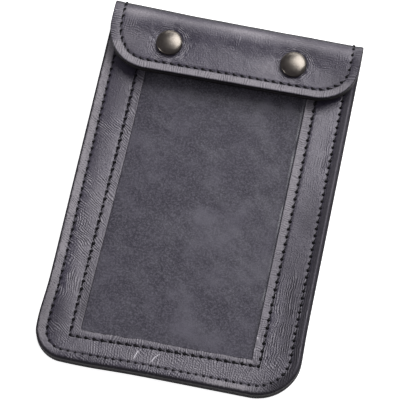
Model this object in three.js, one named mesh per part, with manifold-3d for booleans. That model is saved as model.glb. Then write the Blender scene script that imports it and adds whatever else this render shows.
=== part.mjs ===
// Leather tank pouch. One hide makes the back, the rounded fold at the top and the flap, and a lining
// follows it inside. A leather frame with a clear window makes the front, and two press studs close the flap.
// The pouch lies on its back, with X to its right, Y towards the fold and Z up out of its front.

import * as THREE from "three";
import { mergeVertices } from "three/addons/utils/BufferGeometryUtils.js";
import Module from "manifold-3d";

// Driving sizes, in millimetres and degrees
const WIDTH = 140;
const LENGTH = 208; // bottom edge to the crest of the fold
const GAP = 0.3; // clearance between pieces that touch
const HIDE_THICKNESS = 2.0;
const LINING_THICKNESS = 1.6;
const FRAME_THICKNESS = 2.0;
const FILM_THICKNESS = 0.4;

// The fold and the flap, seen from the side
const FOLD_RADIUS = 8.6; // grain face, from the back round to the shoulder
const FOLD_TURN = 150;
const SHOULDER_RADIUS = 15; // looser bend from the fold into the flap
const DIP_SLOPE = 7; // the flap leaves the shoulder falling by this angle
const DIP_LENGTH = 16; // and is level again after this length
const FLAP_DEPTH = 38.9; // crest of the fold to the flap's lower edge
const FLAP_SKEW = 0.9; // the lower edge hangs this much lower at the left and higher at the right
const FLAP_DROOP = 3; // how far the flap's sides hang down
const LEVEL_HALF_WIDTH = 45; // the middle of the flap is level this far out

// The outline, with corners cut by hand and a little unlike
const POUCH_CORNER = { left: 15, right: 23.5 };
const FLAP_CORNER = { left: 24, right: 22.5 };
const FLAP_TRIM = { left: 1, right: 0 }; // the flap is cut this much narrower than the back
const HIP_FLARE = { left: 1.1, right: 0.5 }; // slight swelling of the sides above the bottom corners
const HIP_HEIGHT = 21;
const HIP_SPREAD = 14;

// The front, as widths of leather between the outline and the window
const SIDE_BAND = 24.5;
const BOTTOM_BAND = 17.7;
const TOP_BAND = 23.5;
const MOUTH_HEIGHT = 196.5; // top edge of the front above the bottom edge
const WINDOW_CORNER = 0.8;
const FILM_TOP_TUCK = 5; // how far the film runs up under the top band

// The front swells from its sewn edges: a low rise across the bands, then a broad dome over the window
const BAND_RISE = 1.8;
const SEWN_SHARE = 0.25; // share of a band that is sewn flat
const RISEN_SHARE = 1.05; // share of a band at which the rise is complete
const DOME_HALF_WIDTH = 52;
const DOME_POWER = 4; // a flat middle that falls away towards the sides
// Height of the dome along the middle line, a row for each level up the pouch
const DOME = [
  { height: 0, rise: 0 },
  { height: 16, rise: 0.3 },
  { height: 60, rise: 3.3 },
  { height: 100, rise: 3.7 },
  { height: 140, rise: 3.6 },
  { height: 170, rise: 3.3 },
  { height: 200, rise: 2.6 },
];

// Press studs
const SNAP_REACH = { left: 34.9, right: 34.4 }; // from the middle line
const SNAP_FROM_CREST = { left: 22.2, right: 21.5 };
const CAP_RADIUS = 7.3;
const CAP_SEAT = 0.5; // underside of the cap above the grain face
const CAP_ROLL = 0.6; // rolled lower edge of the rim
const CAP_RIM_HEIGHT = 1.0;
const CAP_CROWN = 2.2; // dome above the rim
const POST_RADIUS = 3.2;
const SOCKET_RADIUS = 5.5;
const SOCKET_THICKNESS = 0.7;
const SOCKET_BORE_RADIUS = 2.4;
const SOCKET_BORE_TOP = 2; // ceiling of the bore below the grain face
const STUD_BASE_RADIUS = 4.5;
const STUD_BASE_THICKNESS = 0.5;
const STUD_RADIUS = 1.8;
const STUD_HEIGHT = 3.4; // top of the stud above the front's face

// Mesh fineness
const CORNER_STEPS = 6;
const BACK_STEPS = 6;
const FOLD_STEPS = 10;
const SHOULDER_STEPS = 4;
const HIDE_COLUMNS = 10;
const SIDE_STEPS = 10;
const END_STEPS = 8;
const MOUTH_STEPS = 16; // crowded towards the sides
const DOME_STEPS = 6;
const LATHE_SIDES = 24;
const CUTTER_LENGTH = 30;
const CLOSE_ENOUGH = 1e-6; // for the search along the flap

// Loops of the frame, as shares of its bands from the outline in to the window
const FRAME_LOOPS = [0, SEWN_SHARE, 0.4, 0.55, 0.7, 0.85, 1];
// Lines of the film, as shares of the bands, from its hidden edges towards the middle of the window
const FILM_SIDE_LINES = [0.7, 0.85, 1, 1.5, 2.2];
const FILM_BOTTOM_LINES = [0.7, 0.85, 1, 1.5, 2.5, 3.5, 5];
const FILM_UPPER_ROWS = 5;

const wasm = await Module();
wasm.setup();

const { degToRad, lerp, smoothstep } = THREE.MathUtils;
const HALF_TURN = Math.PI;
const QUARTER_TURN = Math.PI / 2;
const HALF_WIDTH = WIDTH / 2;
const BOTTOM_Y = -LENGTH / 2;
const CREST_Y = LENGTH / 2;
const FLAP_EDGE_Y = CREST_Y - FLAP_DEPTH;
const LAYERS_THICKNESS = HIDE_THICKNESS + GAP + LINING_THICKNESS;
const SEAT_Z = LAYERS_THICKNESS + GAP; // underside of the front where it is sewn down

// Side profile of the hide's grain face, from the bottom edge to the flap's lower edge: a row for each
// stretch, with its length and the angle that it turns through
const shoulderTurn = HALF_TURN + degToRad(DIP_SLOPE - FOLD_TURN);
const PROFILE = [
  { length: LENGTH - FOLD_RADIUS, turn: 0 },
  { length: FOLD_RADIUS * degToRad(FOLD_TURN), turn: degToRad(FOLD_TURN) },
  { length: SHOULDER_RADIUS * shoulderTurn, turn: shoulderTurn },
  { length: DIP_LENGTH, turn: -degToRad(DIP_SLOPE) },
];
const BACK_END = PROFILE[0].length;
const FOLD_END = BACK_END + PROFILE[1].length;
const SHOULDER_END = FOLD_END + PROFILE[2].length;
const DIP_END = SHOULDER_END + DIP_LENGTH;
PROFILE.push({ length: profileAt(DIP_END).y - FLAP_EDGE_Y, turn: 0 });
const HIDE_END = DIP_END + PROFILE[4].length;

// Point and heading of the side profile at a distance from the bottom edge
function profileAt(distance) {
  let y = BOTTOM_Y;
  let z = 0;
  let heading = 0;
  let remaining = distance;
  for (const { length, turn } of PROFILE) {
    const run = Math.min(remaining, length);
    const bend = (turn * run) / length;
    const chord = bend === 0 ? run : (2 * run * Math.sin(bend / 2)) / bend;
    y += chord * Math.cos(heading + bend / 2);
    z += chord * Math.sin(heading + bend / 2);
    heading += bend;
    remaining -= run;
  }
  return { y, z, heading };
}

// Outline

// How far a rounded end draws the side in, at a distance from that end
function cornerInset(fromEnd, radius) {
  if (fromEnd >= radius) return 0;
  return radius - Math.sqrt(radius ** 2 - (radius - fromEnd) ** 2);
}

function hipFlare(side, height) {
  return HIP_FLARE[side] * Math.exp(-(((height - HIP_HEIGHT) / HIP_SPREAD) ** 2));
}

// Distance of the hide's side from the middle line
function hideReach(side, distance) {
  const bottomInset = cornerInset(distance, POUCH_CORNER[side]);
  const flapInset = cornerInset(HIDE_END - distance, FLAP_CORNER[side]);
  const trim = FLAP_TRIM[side] * smoothstep(distance, BACK_END, SHOULDER_END);
  return HALF_WIDTH - bottomInset - flapInset - trim + hipFlare(side, distance);
}

// Sheets

// A closed sheet with two faces over one grid of points, joined round the edge of the grid. Face 0 looks
// along the columns' direction crossed with the rows'. A ring's columns close on themselves.
function sheet({ rows, columns, ring = false }, pointAt) {
  const across = ring ? columns : columns + 1;
  const positions = [];
  for (const face of [0, 1]) {
    for (let row = 0; row <= rows; row += 1) {
      for (let column = 0; column < across; column += 1) {
        positions.push(...pointAt(row, column, face));
      }
    }
  }
  const corner = (row, column, face) => (face * (rows + 1) + row) * across + (column % across);
  const index = [];
  const quad = (a, b, c, d) => index.push(a, b, c, a, c, d);
  for (let column = 0; column < columns; column += 1) {
    const next = column + 1;
    for (let row = 0; row < rows; row += 1) {
      const above = row + 1;
      quad(corner(row, column, 0), corner(row, next, 0), corner(above, next, 0), corner(above, column, 0));
      quad(corner(row, column, 1), corner(above, column, 1), corner(above, next, 1), corner(row, next, 1));
    }
    quad(corner(0, next, 0), corner(0, column, 0), corner(0, column, 1), corner(0, next, 1));
    quad(corner(rows, column, 0), corner(rows, next, 0), corner(rows, next, 1), corner(rows, column, 1));
  }
  for (let row = 0; row < rows && !ring; row += 1) {
    const above = row + 1;
    const end = columns;
    quad(corner(row, 0, 0), corner(above, 0, 0), corner(above, 0, 1), corner(row, 0, 1));
    quad(corner(above, end, 0), corner(row, end, 0), corner(row, end, 1), corner(above, end, 1));
  }
  const geometry = new THREE.BufferGeometry();
  geometry.setAttribute("position", new THREE.Float32BufferAttribute(positions, 3));
  geometry.setIndex(index);
  return geometry;
}

// Even steps from start to end, leaving the start out
function evenSteps(start, end, steps) {
  return Array.from({ length: steps }, (_, step) => lerp(start, end, (step + 1) / steps));
}

// Distances from a rounded end at even turns of its arc, from the end inwards
function cornerSteps(radius) {
  return Array.from({ length: CORNER_STEPS + 1 }, (_, step) => {
    const turn = (QUARTER_TURN * step) / CORNER_STEPS;
    return radius * (1 - Math.cos(turn));
  });
}

// A layer of the hide or its lining, at a depth behind the grain face
function hideLayer(depth, thickness) {
  const pouchCorner = Math.max(POUCH_CORNER.left, POUCH_CORNER.right);
  const flapCorner = Math.max(FLAP_CORNER.left, FLAP_CORNER.right);
  const stations = [
    ...cornerSteps(pouchCorner),
    ...evenSteps(pouchCorner, BACK_END, BACK_STEPS),
    ...evenSteps(BACK_END, FOLD_END, FOLD_STEPS),
    ...evenSteps(FOLD_END, SHOULDER_END, SHOULDER_STEPS),
    ...cornerSteps(flapCorner).reverse().map((fromEnd) => HIDE_END - fromEnd),
  ];
  return sheet({ rows: stations.length - 1, columns: HIDE_COLUMNS }, (row, column, face) => {
    const distance = stations[row];
    const { y, z, heading } = profileAt(distance);
    const inward = face === 0 ? depth + thickness : depth;
    const x = lerp(-hideReach("left", distance), hideReach("right", distance), column / HIDE_COLUMNS);
    const overhang = Math.max(0, Math.abs(x) - LEVEL_HALF_WIDTH) / (HALF_WIDTH - LEVEL_HALF_WIDTH);
    const droop = FLAP_DROOP * overhang ** 2 * smoothstep(distance, FOLD_END, HIDE_END);
    const skew = (FLAP_SKEW * x * smoothstep(distance, SHOULDER_END, HIDE_END)) / HALF_WIDTH;
    return [x, y + skew - inward * Math.sin(heading), z + inward * Math.cos(heading) - droop];
  });
}

// Front

const domeCurve = new THREE.CubicInterpolant(
  DOME.map((row) => row.height),
  DOME.map((row) => row.rise),
  1,
);

// Height of the front above its sewn level
function frontLift(x, height) {
  const sideRise = smoothstep((HALF_WIDTH - Math.abs(x)) / SIDE_BAND, SEWN_SHARE, RISEN_SHARE);
  const bottomRise = smoothstep(height / BOTTOM_BAND, SEWN_SHARE, RISEN_SHARE);
  const [crown] = domeCurve.evaluate(height);
  const across = Math.max(0, 1 - (Math.abs(x) / DOME_HALF_WIDTH) ** DOME_POWER);
  return BAND_RISE * sideRise * bottomRise + Math.max(0, crown) * across;
}

// One loop of the frame, a share of the way in from the outline to the window
function frameLoop(share) {
  return {
    share,
    left: -HALF_WIDTH + share * SIDE_BAND,
    right: HALF_WIDTH - share * SIDE_BAND,
    bottom: share * BOTTOM_BAND,
    top: MOUTH_HEIGHT - share * TOP_BAND,
    leftCorner: lerp(POUCH_CORNER.left, WINDOW_CORNER, share),
    rightCorner: lerp(POUCH_CORNER.right, WINDOW_CORNER, share),
  };
}

function arcPoint(x, height, radius, turn) {
  return [x + radius * Math.cos(turn), height + radius * Math.sin(turn)];
}

// Stretches of a loop, counterclockwise from the bottom edge, each giving x and height at a share of its run
const LOOP_STRETCHES = [
  {
    steps: END_STEPS,
    at: (loop, run) => [
      lerp(loop.left + loop.leftCorner, loop.right - loop.rightCorner, run),
      loop.bottom,
    ],
  },
  {
    steps: CORNER_STEPS,
    at: (loop, run) => arcPoint(
      loop.right - loop.rightCorner,
      loop.bottom + loop.rightCorner,
      loop.rightCorner,
      (run - 1) * QUARTER_TURN,
    ),
  },
  {
    steps: SIDE_STEPS,
    at: (loop, run) => [loop.right, lerp(loop.bottom + loop.rightCorner, loop.top, run)],
  },
  {
    steps: MOUTH_STEPS,
    at: (loop, run) => [lerp(loop.right, loop.left, (1 - Math.cos(HALF_TURN * run)) / 2), loop.top],
  },
  {
    steps: SIDE_STEPS,
    at: (loop, run) => [loop.left, lerp(loop.top, loop.bottom + loop.leftCorner, run)],
  },
  {
    steps: CORNER_STEPS,
    at: (loop, run) => arcPoint(
      loop.left + loop.leftCorner,
      loop.bottom + loop.leftCorner,
      loop.leftCorner,
      HALF_TURN + run * QUARTER_TURN,
    ),
  },
];

function frameRing() {
  const loops = FRAME_LOOPS.map(frameLoop);
  const stops = LOOP_STRETCHES.flatMap(({ steps, at }) =>
    Array.from({ length: steps }, (_, step) => ({ at, run: step / steps })));
  return sheet({ rows: loops.length - 1, columns: stops.length, ring: true }, (row, column, face) => {
    const loop = loops[row];
    const { at, run } = stops[column];
    const [x, height] = at(loop, run);
    const flare = x < 0 ? -hipFlare("left", height) : hipFlare("right", height);
    const thickness = face === 0 ? FRAME_THICKNESS : 0;
    return [x + flare * (1 - loop.share), BOTTOM_Y + height, SEAT_Z + thickness + frontLift(x, height)];
  });
}

function windowSheet() {
  const leftLines = FILM_SIDE_LINES.map((share) => share * SIDE_BAND - HALF_WIDTH);
  const lines = [...leftLines, 0, ...leftLines.map((x) => -x).reverse()];
  const lowerRows = FILM_BOTTOM_LINES.map((share) => share * BOTTOM_BAND);
  const topRow = MOUTH_HEIGHT - TOP_BAND + FILM_TOP_TUCK;
  const heights = [...lowerRows, ...evenSteps(lowerRows.at(-1), topRow, FILM_UPPER_ROWS)];
  return sheet({ rows: heights.length - 1, columns: lines.length - 1 }, (row, column, face) => {
    const x = lines[column];
    const height = heights[row];
    const drop = face === 0 ? GAP : GAP + FILM_THICKNESS;
    return [x, BOTTOM_Y + height, SEAT_Z - drop + frontLift(x, height)];
  });
}

// Press studs

// Distance along the side profile at which the flap passes a given y
function flapDistanceAt(y) {
  let near = SHOULDER_END;
  let far = HIDE_END;
  while (far - near > CLOSE_ENOUGH) {
    const middle = (near + far) / 2;
    if (profileAt(middle).y > y) near = middle;
    else far = middle;
  }
  return near;
}

// A solid turned about Z from a profile of radius and height
function turned(profile) {
  const points = profile.map(([radius, height]) => new THREE.Vector2(radius, height));
  return new THREE.LatheGeometry(points, LATHE_SIDES).rotateX(QUARTER_TURN);
}

// Cap, post and socket, with heights from the flap's grain face
function capSolid() {
  const socketTop = -LAYERS_THICKNESS - GAP;
  const socketFoot = socketTop - SOCKET_THICKNESS;
  const rimTop = CAP_SEAT + CAP_RIM_HEIGHT;
  const dome = Array.from({ length: DOME_STEPS + 1 }, (_, step) => {
    const turn = (QUARTER_TURN * step) / DOME_STEPS;
    return [CAP_RADIUS * Math.cos(turn), rimTop + CAP_CROWN * Math.sin(turn)];
  });
  dome[DOME_STEPS][0] = 0;
  return turned([
    [0, -SOCKET_BORE_TOP],
    [SOCKET_BORE_RADIUS, -SOCKET_BORE_TOP],
    [SOCKET_BORE_RADIUS, socketFoot],
    [SOCKET_RADIUS, socketFoot],
    [SOCKET_RADIUS, socketTop],
    [POST_RADIUS, socketTop],
    [POST_RADIUS, CAP_SEAT],
    [CAP_RADIUS - CAP_ROLL, CAP_SEAT],
    [CAP_RADIUS, CAP_SEAT + CAP_ROLL],
    ...dome,
  ]);
}

// Stud with a disc on each face of the front, with heights from the front's outer face
function studSolid() {
  const backTop = -FRAME_THICKNESS - GAP;
  const backFoot = backTop - STUD_BASE_THICKNESS;
  return turned([
    [0, backFoot],
    [STUD_BASE_RADIUS, backFoot],
    [STUD_BASE_RADIUS, backTop],
    [STUD_RADIUS, backTop],
    [STUD_RADIUS, GAP],
    [STUD_BASE_RADIUS, GAP],
    [STUD_BASE_RADIUS, GAP + STUD_BASE_THICKNESS],
    [STUD_RADIUS, GAP + STUD_BASE_THICKNESS],
    [STUD_RADIUS, STUD_HEIGHT],
    [0, STUD_HEIGHT],
  ]);
}

// Places of the two snaps: where the caps sit on the flap and the studs stand square on the front
const SNAPS = ["left", "right"].map((side) => {
  const x = side === "left" ? -SNAP_REACH.left : SNAP_REACH.right;
  const snapY = CREST_Y - SNAP_FROM_CREST[side];
  const { y, z, heading } = profileAt(flapDistanceAt(snapY));
  const capTilt = heading - HALF_TURN;
  const liftAt = (offset) => frontLift(x + offset, snapY - BOTTOM_Y);
  const frontZ = SEAT_Z + FRAME_THICKNESS + liftAt(0);
  const climb = liftAt(STUD_BASE_RADIUS) - liftAt(-STUD_BASE_RADIUS);
  const studTilt = -Math.atan2(climb, 2 * STUD_BASE_RADIUS);
  return {
    side,
    cap: new THREE.Matrix4().makeRotationX(capTilt).setPosition(x, y, z),
    stud: new THREE.Matrix4().makeRotationY(studTilt).setPosition(x, snapY, frontZ),
  };
});

// Cuts

function toSolid(geometry) {
  const bare = geometry.clone();
  bare.deleteAttribute("normal");
  bare.deleteAttribute("uv");
  const merged = mergeVertices(bare);
  return new wasm.Manifold(new wasm.Mesh({
    numProp: 3,
    vertProperties: new Float32Array(merged.attributes.position.array),
    triVerts: new Uint32Array(merged.index.array),
  }));
}

function toGeometry(solid) {
  const { vertProperties, triVerts } = solid.getMesh();
  const geometry = new THREE.BufferGeometry();
  geometry.setAttribute("position", new THREE.BufferAttribute(vertProperties, 3));
  geometry.setIndex(new THREE.BufferAttribute(triVerts, 1));
  return geometry;
}

// The geometry with a round hole through it at each of the given places
function withHoles(geometry, radius, places) {
  const drilled = places.reduce((solid, place) => {
    const cutter = new THREE.CylinderGeometry(radius, radius, CUTTER_LENGTH, LATHE_SIDES);
    cutter.rotateX(QUARTER_TURN).translate(0, 0, CUTTER_LENGTH / 2 - LAYERS_THICKNESS - GAP);
    return solid.subtract(toSolid(cutter.applyMatrix4(place)));
  }, toSolid(geometry));
  return toGeometry(drilled);
}

// Finishes
const leather = { color: 0x4b4950, roughness: 0.55, metalness: 0 };
const suede = { color: 0x46444b, roughness: 0.9, metalness: 0 };
const clear = { color: 0xe4e6ea, roughness: 0.15, metalness: 0, transparent: true, opacity: 0.25 };
const metal = { color: 0x6a645b, roughness: 0.35, metalness: 1 };

function piece(name, geometry, finish) {
  geometry.computeVertexNormals();
  const mesh = new THREE.Mesh(geometry, new THREE.MeshStandardMaterial(finish));
  mesh.name = name;
  return mesh;
}

const capPlaces = SNAPS.map((snap) => snap.cap);
const studPlaces = SNAPS.map((snap) => snap.stud);
const hide = hideLayer(0, HIDE_THICKNESS);
const lining = hideLayer(HIDE_THICKNESS + GAP, LINING_THICKNESS);

const pouch = new THREE.Group();
pouch.add(piece("back_and_flap", withHoles(hide, POST_RADIUS + GAP, capPlaces), leather));
pouch.add(piece("lining", withHoles(lining, POST_RADIUS + GAP, capPlaces), suede));
pouch.add(piece("front_frame", withHoles(frameRing(), STUD_RADIUS + GAP, studPlaces), leather));
pouch.add(piece("window_film", windowSheet(), clear));

for (const snap of SNAPS) {
  const cap = piece(`snap_cap_${snap.side}`, capSolid(), metal);
  cap.applyMatrix4(snap.cap);
  pouch.add(cap);
  const stud = piece(`snap_stud_${snap.side}`, studSolid(), metal);
  stud.applyMatrix4(snap.stud);
  pouch.add(stud);
}

export default pouch;
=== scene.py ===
import math
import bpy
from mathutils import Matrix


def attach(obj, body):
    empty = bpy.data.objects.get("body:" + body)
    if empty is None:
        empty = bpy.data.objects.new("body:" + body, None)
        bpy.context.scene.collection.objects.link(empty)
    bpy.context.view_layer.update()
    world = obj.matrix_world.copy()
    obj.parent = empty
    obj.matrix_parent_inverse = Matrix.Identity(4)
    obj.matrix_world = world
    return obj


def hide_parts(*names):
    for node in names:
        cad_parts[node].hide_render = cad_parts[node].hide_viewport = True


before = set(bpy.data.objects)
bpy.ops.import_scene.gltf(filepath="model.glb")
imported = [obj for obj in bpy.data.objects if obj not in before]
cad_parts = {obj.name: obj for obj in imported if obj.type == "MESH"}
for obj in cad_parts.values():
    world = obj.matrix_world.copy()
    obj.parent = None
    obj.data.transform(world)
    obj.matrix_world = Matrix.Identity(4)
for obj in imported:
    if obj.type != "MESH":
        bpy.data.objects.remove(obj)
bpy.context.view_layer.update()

from types import SimpleNamespace

import bpy
import numpy as np
from mathutils import Vector

MM = 0.001
SIDE_NAMES = {-1: "left", 1: "right"}


def sides(left, right):
    """A value for each side of the pouch, under the sign of x there."""
    return {-1: left, 1: right}


# Sizes that the solids have too, in millimetres and degrees
WIDTH = 140.0
LENGTH = 208.0
GAP = 0.3
HIDE_THICKNESS = 2.0
LINING_THICKNESS = 1.6
FRAME_THICKNESS = 2.0
FILM_THICKNESS = 0.4
FOLD_RADIUS = 8.6
FOLD_TURN = 150
SHOULDER_RADIUS = 15.0
DIP_SLOPE = 7
DIP_LENGTH = 16.0
FLAP_DEPTH = 38.9
FLAP_SKEW = 0.9
FLAP_DROOP = 3.0
LEVEL_HALF_WIDTH = 45.0
POUCH_CORNER = sides(15.0, 23.5)
FLAP_CORNER = sides(24.0, 22.5)
FLAP_TRIM = sides(1.0, 0.0)
HIP_FLARE = sides(1.1, 0.5)
HIP_HEIGHT = 21.0
HIP_SPREAD = 14.0
SIDE_BAND = 24.5
BOTTOM_BAND = 17.7
TOP_BAND = 23.5
MOUTH_HEIGHT = 196.5
WINDOW_CORNER = 0.8
FILM_TOP_TUCK = 5.0
FILM_HIDDEN_SHARE = 0.7
SEWN_SHARE = 0.25
DOME_POWER = 4
DOME_HEIGHTS = np.array([0.0, 16, 60, 100, 140, 170, 200])
DOME_RISES = np.array([0.0, 0.3, 3.3, 3.7, 3.6, 3.3, 2.6])
SNAP_X = sides(-34.9, 34.4)
SNAP_FROM_CREST = sides(22.2, 21.5)
CAP_RADIUS = 7.3
CAP_SEAT = 0.5
CAP_ROLL = 0.6
CAP_RIM_HEIGHT = 1.0
CAP_CROWN = 2.2
POST_RADIUS = 3.2
SOCKET_RADIUS = 5.5
SOCKET_THICKNESS = 0.7
SOCKET_BORE_RADIUS = 2.4
SOCKET_BORE_TOP = 2.0

HALF_WIDTH = WIDTH / 2
BOTTOM_Y = -LENGTH / 2
CREST_Y = LENGTH / 2
FLAP_EDGE_Y = CREST_Y - FLAP_DEPTH
LAYERS_THICKNESS = HIDE_THICKNESS + GAP + LINING_THICKNESS
SEAT_Z = LAYERS_THICKNESS + GAP
LINING_DEPTH = HIDE_THICKNESS + GAP

# Seams, as insets from the cut edges, and the lengths of their stitches
SIDE_SEAM = 5.75
BOTTOM_SEAM = 4.9
FLAP_END_SEAM = 5.2
FLAP_SIDE_SEAM = sides(5.8, 4.9)
INNER_SIDE_SEAM = 19.5
INNER_BOTTOM_SEAM = 14.7
INNER_MOUTH_INSET = 18.5
SEAM_CORNER_CUT = 5.5
OUTER_PITCH = 4.05
INNER_PITCH = 4.4
HIDE_PITCH = 4.35


# Numbers

NOISE_CELLS = 128
CREASE_WANDER = 0.8
CREASE_WANDER_RATES = (0.7, 0.5)
CREASE_SHARPNESS = 4
TINY = 1e-9


def smooth(value, low, high):
    """Share of the way from low to high, easing out of one and into the other."""
    share = np.clip((value - low) / (high - low), 0, 1)
    return share * share * (3 - 2 * share)


def bell(value, spread):
    return np.exp(-((value / spread) ** 2))


def mix(first, second, share):
    return first + (second - first) * share


def by_side(table, x):
    return np.where(x < 0, table[-1], table[1])


def noise(u, v, seed):
    """Smooth noise from -1 to 1 with cells of one unit."""
    table = np.random.default_rng(seed).random((NOISE_CELLS, NOISE_CELLS)) * 2 - 1
    cell_u = np.floor(u).astype(int)
    cell_v = np.floor(v).astype(int)
    share_u = smooth(u - cell_u, 0, 1)
    share_v = smooth(v - cell_v, 0, 1)
    near_u = cell_u % NOISE_CELLS
    near_v = cell_v % NOISE_CELLS
    far_u = (cell_u + 1) % NOISE_CELLS
    far_v = (cell_v + 1) % NOISE_CELLS
    near = mix(table[near_u, near_v], table[far_u, near_v], share_u)
    far = mix(table[near_u, far_v], table[far_u, far_v], share_u)
    return mix(near, far, share_v)


def waves(rows, across, along):
    """Sum of noises given as rows of height, cell across, cell along and seed."""
    return sum(height * noise(across / wide, along / long, seed) for height, wide, long, seed in rows)


def creases(u, v, seed):
    """Narrow raised lines from 0 to 1 that wander along u, about one unit of v apart."""
    rate_u, rate_v = CREASE_WANDER_RATES
    wander = noise(u * rate_u, v * rate_v, seed + 1)
    return (1 - np.abs(noise(u, v + CREASE_WANDER * wander, seed))) ** CREASE_SHARPNESS


def patch_depths(table, x, y):
    """Depths at places of all patches in a table, the deepest patch counting."""
    depths = np.zeros(np.shape(x))
    for place_x, place_y, across, along, depth in table:
        depths = np.maximum(depths, depth * bell(x - place_x, across) * bell(y - place_y, along))
    return depths


# Side profile of the hide, as rows of length and turn from the bottom edge to the flap's lower edge

SHOULDER_TURN = math.pi + math.radians(DIP_SLOPE - FOLD_TURN)
STRETCHES = [
    (LENGTH - FOLD_RADIUS, 0.0),
    (FOLD_RADIUS * math.radians(FOLD_TURN), math.radians(FOLD_TURN)),
    (SHOULDER_RADIUS * SHOULDER_TURN, SHOULDER_TURN),
    (DIP_LENGTH, -math.radians(DIP_SLOPE)),
]
SEARCH_STEPS = 4000


def profile_at(distance):
    """The y, z and heading of the grain face at distances from the bottom edge."""
    remaining = np.array(distance, dtype=float)
    y = np.full(remaining.shape, BOTTOM_Y)
    z = np.zeros(remaining.shape)
    heading = np.zeros(remaining.shape)
    for length, turn in STRETCHES:
        run = np.clip(remaining, 0, length)
        bend = turn * run / length
        chord = run * np.sinc(bend / math.tau)
        y += chord * np.cos(heading + bend / 2)
        z += chord * np.sin(heading + bend / 2)
        heading += bend
        remaining -= run
    return y, z, heading


BACK_END = STRETCHES[0][0]
FOLD_END = BACK_END + STRETCHES[1][0]
SHOULDER_END = FOLD_END + STRETCHES[2][0]
DIP_END = SHOULDER_END + DIP_LENGTH
STRETCHES.append((float(profile_at(DIP_END)[0]) - FLAP_EDGE_Y, 0.0))
HIDE_END = DIP_END + STRETCHES[4][0]


def flap_distance_at(y):
    """Distance along the side profile at which the flap passes a given y."""
    distances = np.linspace(SHOULDER_END, HIDE_END, SEARCH_STEPS)
    return float(np.interp(-y, -profile_at(distances)[0], distances))


SNAP_DISTANCE = {side: flap_distance_at(CREST_Y - depth) for side, depth in SNAP_FROM_CREST.items()}
SNAP_LINE = (SNAP_DISTANCE[-1] + SNAP_DISTANCE[1]) / 2
SNAP_REACH = (SNAP_X[1] - SNAP_X[-1]) / 2
SNAP_Y = CREST_Y - (SNAP_FROM_CREST[-1] + SNAP_FROM_CREST[1]) / 2


def from_snap_at(side, flat_x, flat_distance):
    return np.hypot(flat_x - SNAP_X[side], flat_distance - SNAP_DISTANCE[side])


# Outline, with ranges over which its small faults come and go

BACK_OVERHANG = sides(0.3, 0.08)
FRONT_OVERHANG = sides(0.3, 0.0)
BOTTOM_SAG = 0.8
SAG_X = -44
SAG_SPREAD = 20
SAG_FADE = (4, 34)
FOLD_RISE = 0.8
FOLD_RISE_LEFTWARD = (18, 62)
FOLD_RISE_Y = (88, 102)


def hip_flare(x, height):
    return by_side(HIP_FLARE, x) * bell(height - HIP_HEIGHT, HIP_SPREAD)


def unevenness(x, y):
    """Places along y: the bottom edge sags left of its middle and the fold's left end stands higher."""
    sag = BOTTOM_SAG * bell(x - SAG_X, SAG_SPREAD) * (1 - smooth(y - BOTTOM_Y, *SAG_FADE))
    rise = FOLD_RISE * smooth(-x, *FOLD_RISE_LEFTWARD) * smooth(y, *FOLD_RISE_Y)
    return y - sag + rise


def rounded_sheet(x, distance):
    """Bends a rectangle's corners round, so that a line at one inset follows the rounded outline."""
    new_x = x.copy()
    new_distance = distance.copy()
    for side in SIDE_NAMES:
        for at_flap, table in ((False, POUCH_CORNER), (True, FLAP_CORNER)):
            radius = table[side]
            from_end = HIDE_END - distance if at_flap else distance
            across = radius - (HALF_WIDTH - side * x)
            along = radius - from_end
            inside = (across > 0) & (along > 0)
            longest = np.maximum(np.maximum(across, along), TINY)
            shortest = np.minimum(across, along)
            turn = math.pi / 4 * shortest / longest
            turn = np.where(across >= along, turn, math.pi / 2 - turn)
            bent_x = side * (HALF_WIDTH - radius + longest * np.cos(turn))
            bent_end = radius - longest * np.sin(turn)
            bent_distance = HIDE_END - bent_end if at_flap else bent_end
            new_x = np.where(inside, bent_x, new_x)
            new_distance = np.where(inside, bent_distance, new_distance)
    trim = by_side(FLAP_TRIM, x) * smooth(new_distance, BACK_END, SHOULDER_END)
    stretch = 1 + (hip_flare(x, new_distance) - trim + by_side(BACK_OVERHANG, x)) / HALF_WIDTH
    return new_x * stretch, new_distance


# Relief of the hide, as heights in millimetres with their spreads and ranges

EDGE_ROUND = 0.55
FLAP_RELIEF_START = (BACK_END + 6, FOLD_END + 4)
HIDE_GROOVE_DEPTH = 0.45
HIDE_GROOVE_SPREAD = 0.6
HIDE_FLARE = 0.30
HIDE_FLARE_RANGE = (0.6, 4.0)
VALLEY_DEPTH = 0.5
VALLEY_LINE = SNAP_LINE - 1.5
VALLEY_SPREAD = 6.5
VALLEY_SIDES = (4, 16)
FLAP_WAVES = [(0.12, 13, 9, 11), (0.07, 5, 4, 12)]
# Rings pressed round each cap: height, radius and spread
SNAP_RINGS = [(-0.4, 0.0, 9.5), (0.12, CAP_RADIUS + 1.4, 0.7), (-0.2, CAP_RADIUS, 0.7)]
RAY_HEIGHT = 0.08
RAYS = 9
RAY_RADIUS = 11
RAY_SPREAD = 3.2
RAY_SEED = 14
RAY_WANDER = (2.5, 0.5, 3)


def hide_seam_inset(x, distance):
    """Inset of the seam from the sides, which differs a little on the flap."""
    return mix(SIDE_SEAM, by_side(FLAP_SIDE_SEAM, x), smooth(distance, BACK_END, SHOULDER_END))


def from_hide_seam(x, distance):
    """Signed distance inwards from the seam, on the flat rectangle."""
    from_side = HALF_WIDTH - np.abs(x) - hide_seam_inset(x, distance)
    from_bottom = distance - BOTTOM_SEAM
    from_flap_end = HIDE_END - distance - FLAP_END_SEAM
    return np.minimum(from_side, np.minimum(from_bottom, from_flap_end))


def from_hide_edge(x, distance):
    return np.minimum(HALF_WIDTH - np.abs(x), np.minimum(distance, HIDE_END - distance))


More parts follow.
